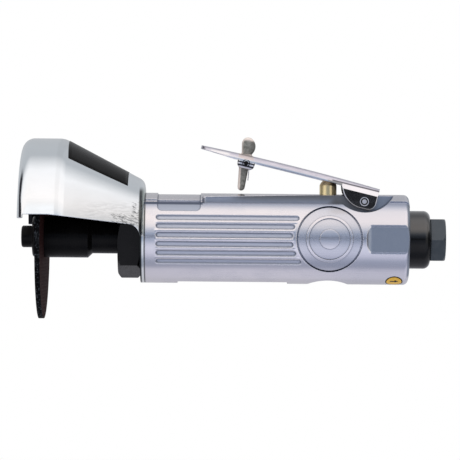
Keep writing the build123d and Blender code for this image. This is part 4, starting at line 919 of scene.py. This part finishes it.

# %% [markdown]
# ## The lever
# The lever is folded from sheet and plated like the guard. Its bar and tip are brushed afterwards, which the
# ears are spared: they keep a mirror that shows the dark gap in the tent, and their colour gets painted shade
# on top. Near the tip, faces that don't look up get a painted highlight. The lever slopes, so heights on it
# are measured square to the bar, from its pivot. One mirror for all of it would lose the fold between the
# two.

# %% Plated and brushed lever
LEVER_PIVOT = (-0.0374, 0.0, 0.0172)
LEVER_TILT = math.radians(13.4)
BAR_HEIGHT = (0.0057, 0.0062)
TIP_X, EARS_X, EARS_FACING = (-0.1075, -0.1085), (-0.0545, -0.0535), (0.93, 0.98)
TABS_HEIGHT, TABS_X = (0.0052, 0.0049), (-0.099, -0.087, 0.001)
BRUSH_PULL, BRUSH_DARK, BRUSH_LIGHT = (160.0, 1800.0, 1800.0), (0.64, 0.62, 0.70, 1), (0.76, 0.74, 0.82, 1)
BRIGHT_X, BRIGHT_FACING, BRIGHT_TONE = (-0.1065, -0.100, 0.002), (0.9, 0.5), (0.95, 0.94, 0.95, 1)
WARM_X, WARM_SHARE, WARM_TONE = (-0.0945, -0.0883, 0.0006), 0.8, (0.72, 0.63, 0.60, 1)
EAR_SHADE_TONE, BRUSH_ROUGH = (0.61, 0.56, 0.50, 1), 0.30

lever_chrome = finish(
    "lever_chrome", base=(0.87, 0.87, 0.92), marked=(0.82, 0.82, 0.87), crevice_shade=(0.10, 0.10, 0.13),
    worn=(0.95, 0.95, 0.97), rough=(0.05, 0.09), radius=0.00015, fineness=2600.0, grain_depth=0.000001,
    stretch=(80.0, 2200.0, 2200.0), line_depth=0.000001,
)


def lever_height(tree):
    """Height over the lever's pivot, square to its bar."""
    upward = (math.sin(LEVER_TILT), 0, math.cos(LEVER_TILT))
    return number_of(tree, "DOT_PRODUCT", vector_of(tree, "SUBTRACT", spot_in(tree), LEVER_PIVOT), upward)


def brush_bar(tree):
    """Brush the lever's bar, tip and tabs, paint a highlight on the tip's faces that don't look up, and paint
    shade on its ears.
    """
    x, _, _ = axes_of(tree, spot_in(tree))
    _, turn_y, turn_z = axes_of(tree, put(tree, "TexCoord").outputs["Normal"])
    height = lever_height(tree)
    bar = span(tree, height, *BAR_HEIGHT)
    tabs = every(tree, span(tree, height, *TABS_HEIGHT), within(tree, x, *TABS_X))
    ears = every(tree, span(tree, calc(tree, "ABSOLUTE", turn_y), *EARS_FACING), span(tree, x, *EARS_X))
    bright = every(tree, within(tree, x, *BRIGHT_X), span(tree, turn_z, *BRIGHT_FACING))
    streaks = use(tree, lines, Stretch=BRUSH_PULL)["Tone"]
    brushed = mix_colour(tree, streaks, BRUSH_DARK, BRUSH_LIGHT)
    # Painted highlight on the faces near the tip that don't look up.
    brushed = mix_colour(tree, bright, brushed, BRIGHT_TONE)
    brushed = mix_colour(tree, every(tree, within(tree, x, *WARM_X), WARM_SHARE), brushed, WARM_TONE)
    # Painted shade on the ears.
    repaint(tree, ears, EAR_SHADE_TONE)
    repaint(tree, bar, brushed)
    roughen(tree, either(tree, bar, span(tree, x, *TIP_X), tabs), BRUSH_ROUGH)


brush_bar(lever_chrome.node_tree)
wear(lever_chrome, "throttle_lever")

# %% [markdown]
# Two tabs hang from the bar and hold the catch's pin. Each is stepped by the press, and the steps are drawn
# in light and shade: a painted highlight on the ledge under the bar, painted shade on two steps and in a ring
# round the pin. A crease runs between the bar and the ears, and it gets painted shade too. They could be cut
# into the sheet, but all are half a millimetre wide, so they are lines of painted light and shade at measured
# heights.

# %% Painted light and shade on the tabs' steps
CATCH_PIN = (-0.0914, 0.0, 0.0343)
PIN_RING = (0.0014, 0.0017, 0.00015)
UPPER_STEP, LOWER_STEP = (0.0040, 0.0044, 0.0002), (0.0025, 0.0031, 0.0002)
LEDGE_HEIGHT = (0.0047, 0.0058, 0.0002)
CREASE_HEIGHT, CREASE_X = (0.0058, 0.0063, 0.0002), (-0.0525, -0.0515)
TAB_TOP, TAB_X = (0.0058, 0.0055), (-0.0962, -0.0868, 0.0004)
LEDGE_HIGHLIGHT_TONE, STEP_SHADE_TONE, CREASE_SHADE_TONE = (0.96, 0.96, 0.97, 1), (0.035, 0.035, 0.04, 1), (0.20, 0.20, 0.23, 1)
SIDE_VIEW = (1, 0, 1)


def from_pin(tree, pin):
    """The distance from a pin that lies across the tool."""
    offset = vector_of(tree, "SUBTRACT", spot_in(tree), pin)
    return number_of(tree, "LENGTH", vector_of(tree, "MULTIPLY", offset, SIDE_VIEW))


def step_tabs(tree):
    """Paint a highlight on the tabs' ledge, shade on their steps and round the pin, and shade in the crease
    above the ears.
    """
    x, _, _ = axes_of(tree, spot_in(tree))
    height = lever_height(tree)
    on_tab = every(tree, span(tree, height, *TAB_TOP), within(tree, x, *TAB_X))
    steps = either(tree, within(tree, height, *UPPER_STEP), within(tree, height, *LOWER_STEP))
    ring = within(tree, from_pin(tree, CATCH_PIN), *PIN_RING)
    # Painted highlight on the ledge, then painted shade on the steps, round the pin and in the crease.
    repaint(tree, every(tree, within(tree, height, *LEDGE_HEIGHT), on_tab), LEDGE_HIGHLIGHT_TONE)
    repaint(tree, every(tree, either(tree, ring, steps), on_tab), STEP_SHADE_TONE)
    repaint(tree, every(tree, within(tree, height, *CREASE_HEIGHT), span(tree, x, *CREASE_X)), CREASE_SHADE_TONE)


step_tabs(lever_chrome.node_tree)
print("steps drawn on", lever_chrome.name)

# %% [markdown]
# ## The catch
# The safety catch is pressed from powder and tumbled, which leaves a warm speckled grey. Its top, its front
# edge, its shoulder and the faces that look up and forward get a painted highlight, and its back gets painted
# shade. The edge mask of the recipe would brighten every edge alike, so the highlighted places are measured
# from the catch's own pin.

# %% Pressed catch with painted highlight and shade
CATCH_LEAN = math.radians(9.5)
LIT_WAY, LIT_FACING, LIT_SHARE = (-0.75, 0, 0.66), (0.15, 0.8), 0.75
SHOULDER_Z, SHOULDER_SHARE = (0.0366, 0.0382, 0.0006), 0.6
PROP_SLOPE, PROP_FRONT, PROP_EDGE, PROP_TOP = 0.106, 0.00316, (-0.0013, -0.0007), (-0.0015, -0.0030)
CROWN_RISE, BRIGHT_SHARE = (0.0098, 0.0112), 0.95
SHADED, SHADED_SHARE = (0.0002, -0.0018), 0.45
SHADED_TONE, HIGHLIGHT_TONE = (0.05, 0.048, 0.045, 1), (0.90, 0.78, 0.71, 1)

catch_cast = finish(
    "catch_cast", base=(0.27, 0.265, 0.24), marked=(0.12, 0.12, 0.105), crevice_shade=(0.04, 0.038, 0.034),
    worn=(0.56, 0.51, 0.47), rough=(0.42, 0.62), metallic=0.25, radius=0.0003, fineness=1700.0,
    grain_depth=0.00006, patch=900.0,
)


def light_catch(tree):
    """Paint a highlight on the catch's top, front edge, shoulder and upward faces, and shade on its back."""
    there = put(tree, "TexCoord").outputs
    _, _, z = axes_of(tree, there["Object"])
    turned = number_of(tree, "DOT_PRODUCT", there["Normal"], LIT_WAY)
    offset = vector_of(tree, "SUBTRACT", there["Object"], CATCH_PIN)
    lean, upright = math.sin(CATCH_LEAN), math.cos(CATCH_LEAN)
    forward = number_of(tree, "DOT_PRODUCT", offset, (-upright, 0, lean))
    rise = number_of(tree, "DOT_PRODUCT", offset, (lean, 0, upright))
    front = calc(tree, "SUBTRACT", forward, calc(tree, "MULTIPLY_ADD", rise, PROP_SLOPE, PROP_FRONT))
    prop_edge = every(tree, span(tree, front, *PROP_EDGE), span(tree, rise, *PROP_TOP))
    bright = either(tree, prop_edge, span(tree, rise, *CROWN_RISE))
    highlighted = either(
        tree, every(tree, span(tree, turned, *LIT_FACING), LIT_SHARE),
        every(tree, within(tree, z, *SHOULDER_Z), SHOULDER_SHARE), every(tree, bright, BRIGHT_SHARE),
    )
    # Painted shade on the back, then a painted highlight on the top, front edge, shoulder and faces that look
    # up and forward.
    repaint(tree, every(tree, span(tree, forward, *SHADED), SHADED_SHARE), SHADED_TONE)
    repaint(tree, highlighted, HIGHLIGHT_TONE)


light_catch(catch_cast.node_tree)
wear(catch_cast, "safety_catch")

# %% [markdown]
# ## Spring, pin and stem
# The catch's spring is bright drawn wire. The lever's pin is cut on a lathe, with a groove round its middle;
# painted shade darkens that groove and the foot of its rim. The valve's stem is turned brass with rings from
# the tool, and its plug and the inlet's screen are of the same brass. Each could have a tree of its own, but
# one call of the recipe is enough, and the pin gets one more coat of painted shade.

# %% Drawn, turned and brass pieces
PIN_GROOVE, PIN_FOOT = (0.00115, 0.00160, 0.00010), (0.00200, 0.00212)
PIN_SHADE_TONE = (0.03, 0.03, 0.032, 1)

spring_steel = finish(
    "spring_steel", base=(0.78, 0.78, 0.81), marked=(0.70, 0.70, 0.73), crevice_shade=(0.10, 0.10, 0.11),
    worn=(0.86, 0.86, 0.88), rough=(0.12, 0.22), radius=0.0001, reach=0.0004,
)
pin_steel = finish(
    "pin_steel", base=(0.74, 0.74, 0.77), marked=(0.64, 0.64, 0.67), crevice_shade=(0.03, 0.03, 0.035),
    worn=(0.86, 0.86, 0.88), rough=(0.34, 0.46), radius=0.0002, stretch=(900.0, 900.0, 900.0),
)
stem_brass = finish(
    "stem_brass", base=(0.86, 0.71, 0.40), marked=(0.76, 0.60, 0.32), crevice_shade=(0.12, 0.08, 0.03),
    worn=(0.90, 0.78, 0.50), rough=(0.28, 0.42), radius=0.0003, stretch=(90.0, 90.0, 3600.0),
    line_depth=0.000006,
)
tree = pin_steel.node_tree
pivot_distance = from_pin(tree, LEVER_PIVOT)
# Painted shade in the pin's groove and at the foot of its rim.
pin_shade = either(tree, within(tree, pivot_distance, *PIN_GROOVE), span(tree, pivot_distance, *PIN_FOOT))
repaint(tree, pin_shade, PIN_SHADE_TONE)
wear(spring_steel, "catch_spring")
wear(pin_steel, "lever_pin")
wear(stem_brass, "valve_stem", "valve_plug", "inlet_screen")

# %% [markdown]
# ## The spring under the valve
# A wound spring lifts the stem again when the lever is let go. A solid moves as a whole or not at all, but a
# spring gets shorter, and at full throttle the stem would stand in its top turn. So a copy of the wound wire,
# which stands on the plug, takes its place and rides with the housing.

spring_mesh = nodes["valve_spring"].data.copy()
spring_mesh.name = "pressed_spring"
spring_mesh.materials.clear()
spring_mesh.materials.append(spring_steel)
pressed_spring = bpy.data.objects.new("pressed_spring", spring_mesh)
bpy.context.scene.collection.objects.link(pressed_spring)
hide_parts("valve_spring")
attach(pressed_spring, "housing")
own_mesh(pressed_spring)

# %% [markdown]
# ## The rear end
# The collar that turns the exhaust away is black and smooth enough to carry bright bands. Oil from the
# motor lies on its upper half, which a glossy coat over the black shows better than a smoother black
# would. The inlet behind it is phosphated steel, a softer charcoal.

# %% Collar and inlet
OIL_Z, OIL_IOR, OIL_ROUGH = (0.0, 0.005), 1.9, 0.16

collar_black = finish(
    "collar_black", base=(0.005, 0.005, 0.0055), marked=(0.008, 0.008, 0.0085), crevice_shade=(0.002, 0.002, 0.002),
    worn=(0.035, 0.036, 0.040), rough=(0.10, 0.20), metallic=0.0, specular=0.25, radius=0.0004,
    stretch=(2400.0, 90.0, 90.0), line_depth=0.000003, patch=90.0,
)
tree = collar_black.node_tree
_, _, z = axes_of(tree, spot_in(tree))
feed(tree, input_of(tree, "Coat Weight"), span(tree, z, *OIL_Z))
input_of(tree, "Coat IOR").default_value = OIL_IOR
input_of(tree, "Coat Roughness").default_value = OIL_ROUGH
inlet_steel = finish(
    "inlet_steel", base=(0.041, 0.053, 0.065), marked=(0.055, 0.067, 0.079), crevice_shade=(0.006, 0.006, 0.007),
    worn=(0.10, 0.11, 0.12), rough=(0.30, 0.45), metallic=0.15, specular=0.6, radius=0.0004, fineness=3200.0,
    grain_depth=0.000008, patch=160.0,
)
wear(collar_black, "exhaust_deflector")
wear(inlet_steel, "inlet_bushing")

# %% [markdown]
# ## Inside the tool
# The motor shows only through the inlet and between turned pieces, but it is there, so it is finished
# too: ground steel for the rotor and plates, brighter steel for the bearings, brown laminate for the
# vanes, rubber and felt. One grey for all of it would do for the picture, but not for a part that
# someone takes apart.

# %% Motor, bearings and seals
motor_steel = finish(
    "motor_steel", base=(0.60, 0.60, 0.62), marked=(0.53, 0.53, 0.55), crevice_shade=(0.08, 0.08, 0.09),
    worn=(0.62, 0.62, 0.64), rough=(0.22, 0.36), stretch=(2600.0, 120.0, 120.0),
)
bearing_steel = finish(
    "bearing_steel", base=(0.78, 0.78, 0.81), marked=(0.72, 0.72, 0.75), crevice_shade=(0.10, 0.10, 0.11),
    worn=(0.74, 0.74, 0.76), rough=(0.08, 0.16), stretch=(2600.0, 120.0, 120.0), line_depth=0.000001,
)
vane_laminate = finish(
    "vane_laminate", base=(0.115, 0.045, 0.020), marked=(0.085, 0.032, 0.014), crevice_shade=(0.03, 0.012, 0.006),
    worn=(0.18, 0.085, 0.045), rough=(0.45, 0.62), metallic=0.0, stretch=(40.0, 1800.0, 1800.0),
    line_depth=0.00002,
)
seal_rubber = finish(
    "seal_rubber", base=(0.012, 0.012, 0.012), marked=(0.018, 0.018, 0.018), crevice_shade=(0.004, 0.004, 0.004),
    worn=(0.025, 0.025, 0.025), rough=(0.48, 0.66), metallic=0.0, fineness=5000.0, grain_depth=0.000012,
)
felt = finish(
    "muffler_felt", base=(0.27, 0.235, 0.185), marked=(0.20, 0.175, 0.14), crevice_shade=(0.08, 0.07, 0.055),
    worn=(0.34, 0.30, 0.245), rough=(0.85, 0.98), metallic=0.0, specular=0.1, fineness=1500.0,
    grain_depth=0.00025, stretch=(700.0, 900.0, 500.0), line_depth=0.0002, patch=300.0,
)
wear(motor_steel, "rotor", "cylinder_liner", "front_end_plate", "rear_end_plate")
wear(bearing_steel, "front_bearing_outer", "front_bearing_inner", "front_bearing_balls",
     "rear_bearing_outer", "rear_bearing_inner", "rear_bearing_balls", "cylinder_dowel")
wear(vane_laminate, "rotor_vanes")
wear(seal_rubber, "stem_o_ring", "valve_seal", "plug_o_ring")

# %% [markdown]
# ## The felt ring
# Behind the collar's windows sits a ring of felt that takes the edge off the exhaust noise. The solid
# is a plain ring. Felt is pressed wool with no sharp corner and a surface of tufts, so the ring is
# turned again from a rounded section with many points, and each point is moved along its own direction
# by a fixed noise.

# %% Turn the felt ring
FELT_TURNS, FELT_ROUND = 220, 36
FELT_BORE = 0.0084
TUFT, TUFT_SHARE, TUFT_SCALE = 0.00012, 0.6, 1900
FUZZ_SHARE, FUZZ_SCALE = 0.5, 5200
CORNER_POWER = 6

felt_low, felt_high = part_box("muffler_felt")
felt_mid_x = (felt_low[0] + felt_high[0]) / 2
felt_half_length = (felt_high[0] - felt_low[0]) / 2 - TUFT
felt_outer = felt_high[2] - TUFT
felt_inner = FELT_BORE + TUFT
felt_mid_radius = (felt_outer + felt_inner) / 2
felt_half_height = (felt_outer - felt_inner) / 2


def rounded_section(turn):
    """A point on a square with rounded corners, from minus one to one."""
    across, up = math.cos(turn), math.sin(turn)
    size = (abs(across) ** CORNER_POWER + abs(up) ** CORNER_POWER) ** (1 / CORNER_POWER)
    return across / size, up / size


def felt_point(turn, around):
    """A point of the ring, by its turn in the section and its turn round the tool."""
    across, up = rounded_section(turn)
    radius = felt_mid_radius + felt_half_height * up
    x = felt_mid_x + felt_half_length * across
    point = Vector((x, radius * math.cos(around), radius * math.sin(around)))
    tuft = noise.noise(point * TUFT_SCALE) + FUZZ_SHARE * noise.noise(point * FUZZ_SCALE)
    away = Vector((across, up * math.cos(around), up * math.sin(around))).normalized()
    return point + away * tuft * TUFT * TUFT_SHARE


ring = bmesh.new()
loops = []
for step in range(FELT_TURNS):
    around = 2 * math.pi * step / FELT_TURNS
    turns = [2 * math.pi * corner / FELT_ROUND for corner in range(FELT_ROUND)]
    loops.append([ring.verts.new(felt_point(turn, around)) for turn in turns])
for before, after in zip(loops, loops[1:] + loops[:1]):
    for corner in range(FELT_ROUND):
        ring.faces.new((before[corner], before[corner - 1], after[corner - 1], after[corner]))
bmesh.ops.recalc_face_normals(ring, faces=ring.faces)
felt_ring = to_object("felt_ring", ring, felt)
felt_ring.data.shade_smooth()
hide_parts("muffler_felt")
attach(felt_ring, "deflector")
print("felt_ring with", len(felt_ring.data.polygons), "faces")

# %% [markdown]
# ## Films on the metal
# A dark film covers the top of the guard's cone, and an oval yellow film sits under the inlet end of
# the barrel. Each could be a flat plate, but both surfaces curve. So a film is a net of places, each an
# x and an angle from the top. Every place is dropped on the metal along a line to the tool's axis and
# lifted by a hair.

# %% A helper that lays films
RAY_START = 0.1
SAME_POINT = 1e-7


def surface_of(name):
    """A solid's faces, ready to be hit by rays."""
    mesh = nodes[name].data
    return BVHTree.FromPolygons([v.co for v in mesh.vertices], [p.vertices for p in mesh.polygons])


def drop_on(ground, x, degrees, lift):
    """The place on the metal, lifted along the metal's normal."""
    angle = math.radians(degrees)
    outward = Vector((0, -math.sin(angle), math.cos(angle)))
    hit, normal, _, _ = ground.ray_cast(Vector((x, 0, 0)) + RAY_START * outward, -outward)
    return hit + (normal if normal.dot(outward) > 0 else -normal) * lift


def lay_film(name, carrier, places, lift, thickness, material, ride_on):
    """A film over columns of places, each an x in metres and an angle from the top in degrees."""
    ground = surface_of(carrier)
    film = bmesh.new()
    columns = [[film.verts.new(drop_on(ground, x, angle, lift)) for x, angle in column] for column in places]
    for before, after in zip(columns, columns[1:]):
        for row in range(len(before) - 1):
            film.faces.new((before[row], before[row + 1], after[row + 1], after[row]))
    bmesh.ops.remove_doubles(film, verts=film.verts, dist=SAME_POINT)
    bmesh.ops.recalc_face_normals(film, faces=film.faces)
    piece = to_object(name, film, material)
    mesh = piece.data
    middle = mesh.polygons[len(mesh.polygons) // 2]
    if middle.normal.dot(Vector((0, middle.center.y, middle.center.z))) < 0:
        mesh.flip_normals()
    mesh.shade_smooth()
    thick = piece.modifiers.new("thickness", "SOLIDIFY")
    thick.thickness = thickness
    thick.offset = 1.0
    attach(piece, ride_on)
    print(name, "with", len(mesh.polygons), "faces on", carrier)


print("film helper ready")

# %% [markdown]
# The film on the guard is thin and nearly black. Its front edge bows, and towards the rear it covers a
# little more of the angle, because the cone narrows faster than the film. A rectangle of angles would
# be simpler, but its edges would then run the wrong way.

# %% Guard film
MM = 0.001
FILM_FRONT, FILM_REAR, FILM_BOW = -172.2 * MM, -144.9 * MM, 0.7 * MM
FILM_FAR, FILM_NEAR, FILM_TAPER = -39.2, 35.2, 2.8
FILM_STEPS, FILM_ROWS = 16, 28
FILM_LIFT, FILM_THICKNESS = 0.03 * MM, 0.12 * MM

film_black = finish(
    "film_black", base=(0.0045, 0.0042, 0.0042), marked=(0.007, 0.0067, 0.0066),
    crevice_shade=(0.004, 0.004, 0.004), worn=(0.04, 0.04, 0.04), rough=(0.24, 0.36), metallic=0.0, specular=0.11,
    radius=0.0001, fineness=4000.0, patch=140.0,
)


def film_place(back, over):
    """A place on the guard's film, by its shares of the length and of the width."""
    front = FILM_FRONT + FILM_BOW * (2 * over - 1) ** 2
    angle = FILM_FAR + (FILM_NEAR - FILM_FAR) * over + FILM_TAPER * back * (2 * over - 1)
    return front + (FILM_REAR - front) * back, angle


film_places = [
    [film_place(step / FILM_STEPS, row / FILM_ROWS) for row in range(FILM_ROWS + 1)]
    for step in range(FILM_STEPS + 1)
]
lay_film("guard_film", "wheel_guard", film_places, FILM_LIFT, FILM_THICKNESS, film_black, "guard")

# %% [markdown]
# The yellow film is an oval with a dark rim and a plain arrow that shows which way the air goes in. It
# could be one piece with a pattern on it. The three are stacked as separate thin pieces instead,
# because edges drawn by geometry stay crisp at any size.

# %% Inlet film
DISC_X, DISC_ANGLE = -23.6 * MM, 157.6
DISC_RADII, DISC_FIELD_RADII = (3.95 * MM, 4.9 * MM), (3.45 * MM, 4.4 * MM)
ARROW_TAIL, ARROW_NECK, ARROW_TIP, NECK_STEP = -1.9 * MM, 0.3 * MM, 2.0 * MM, 0.01 * MM
ARROW_SHAFT_HALF, ARROW_HEAD_HALF, ARROW_RISE = 0.5 * MM, 1.3 * MM, 0.6 * MM
DISC_STEPS, DISC_ROWS, ARROW_ROWS = 24, 12, 6
RIM_LIFT, FIELD_LIFT, ARROW_LIFT, PRINT_THICKNESS = 0.02 * MM, 0.05 * MM, 0.08 * MM, 0.08 * MM

film_yellow = finish(
    "film_yellow", base=(0.86, 0.50, 0.035), marked=(0.80, 0.45, 0.03), crevice_shade=(0.35, 0.2, 0.02),
    worn=(0.9, 0.6, 0.12), rough=(0.28, 0.40), metallic=0.0, specular=0.45, radius=0.0001, patch=160.0,
)


def even_column(x, low, high, rows):
    """Points of one x between two angles."""
    return [(x, low + (high - low) * row / rows) for row in range(rows + 1)]


def disc_places(radii):
    """Columns of places over an oval, by its two radii."""
    places = []
    for step in range(DISC_STEPS + 1):
        turn = math.pi * step / DISC_STEPS
        half = math.degrees(radii[1] * math.sin(turn) / BARREL_RADIUS)
        x = DISC_X - radii[0] * math.cos(turn)
        places.append(even_column(x, DISC_ANGLE - half, DISC_ANGLE + half, DISC_ROWS))
    return places


def arrow_places():
    """Columns of places over the arrow: a shaft and a head."""
    centre = DISC_ANGLE - math.degrees(ARROW_RISE / BARREL_RADIUS)
    shaft, head = (math.degrees(half / BARREL_RADIUS) for half in (ARROW_SHAFT_HALF, ARROW_HEAD_HALF))
    ends = [(ARROW_TAIL, shaft), (ARROW_NECK, shaft), (ARROW_NECK + NECK_STEP, head), (ARROW_TIP, 0.0)]
    return [even_column(DISC_X + x, centre - half, centre + half, ARROW_ROWS) for x, half in ends]


for name, places, lift, material in (
    ("inlet_film_rim", disc_places(DISC_RADII), RIM_LIFT, film_black),
    ("inlet_film", disc_places(DISC_FIELD_RADII), FIELD_LIFT, film_yellow),
    ("inlet_film_arrow", arrow_places(), ARROW_LIFT, film_black),
):
    lay_film(name, "motor_housing", places, lift, PRINT_THICKNESS, material, "housing")

# %% [markdown]
# ## The inlet thread
# An air fitting screws into the hexagon. The hole in the solid is plain, at the thread's outer size,
# and the ridge of the thread is added as one triangle swept along a helix. A stack of rings would be
# easier, but it would not lead a fitting in.

# %% Sweep the thread
THREAD_OUTER, THREAD_INNER = 5.72 * MM, 5.05 * MM
THREAD_LEAD, RIDGE_HALF_SHARE = 1.41 * MM, 0.46
THREAD_START, THREAD_END = -0.9 * MM, -12.6 * MM
THREAD_SEGMENTS = 40

ridge_half = RIDGE_HALF_SHARE * THREAD_LEAD
ridge_corners = ((ridge_half, THREAD_OUTER), (0.0, THREAD_INNER), (-ridge_half, THREAD_OUTER))
thread = bmesh.new()
sections = []
for step in range(int((THREAD_START - THREAD_END) / THREAD_LEAD * THREAD_SEGMENTS) + 1):
    turn = 2 * math.pi * step / THREAD_SEGMENTS
    x = THREAD_START - THREAD_LEAD * step / THREAD_SEGMENTS
    sections.append([
        thread.verts.new((x + shift, radius * math.cos(turn), radius * math.sin(turn)))
        for shift, radius in ridge_corners
    ])
for before, after in zip(sections, sections[1:]):
    for side in range(len(ridge_corners)):
        thread.faces.new((before[side], before[side - 1], after[side - 1], after[side]))
thread.faces.new(sections[0])
thread.faces.new(reversed(sections[-1]))
bmesh.ops.recalc_face_normals(thread, faces=thread.faces)
inlet_thread = to_object("inlet_thread", thread, inlet_steel)
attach(inlet_thread, "housing")
print("inlet_thread with", len(inlet_thread.data.polygons), "faces")
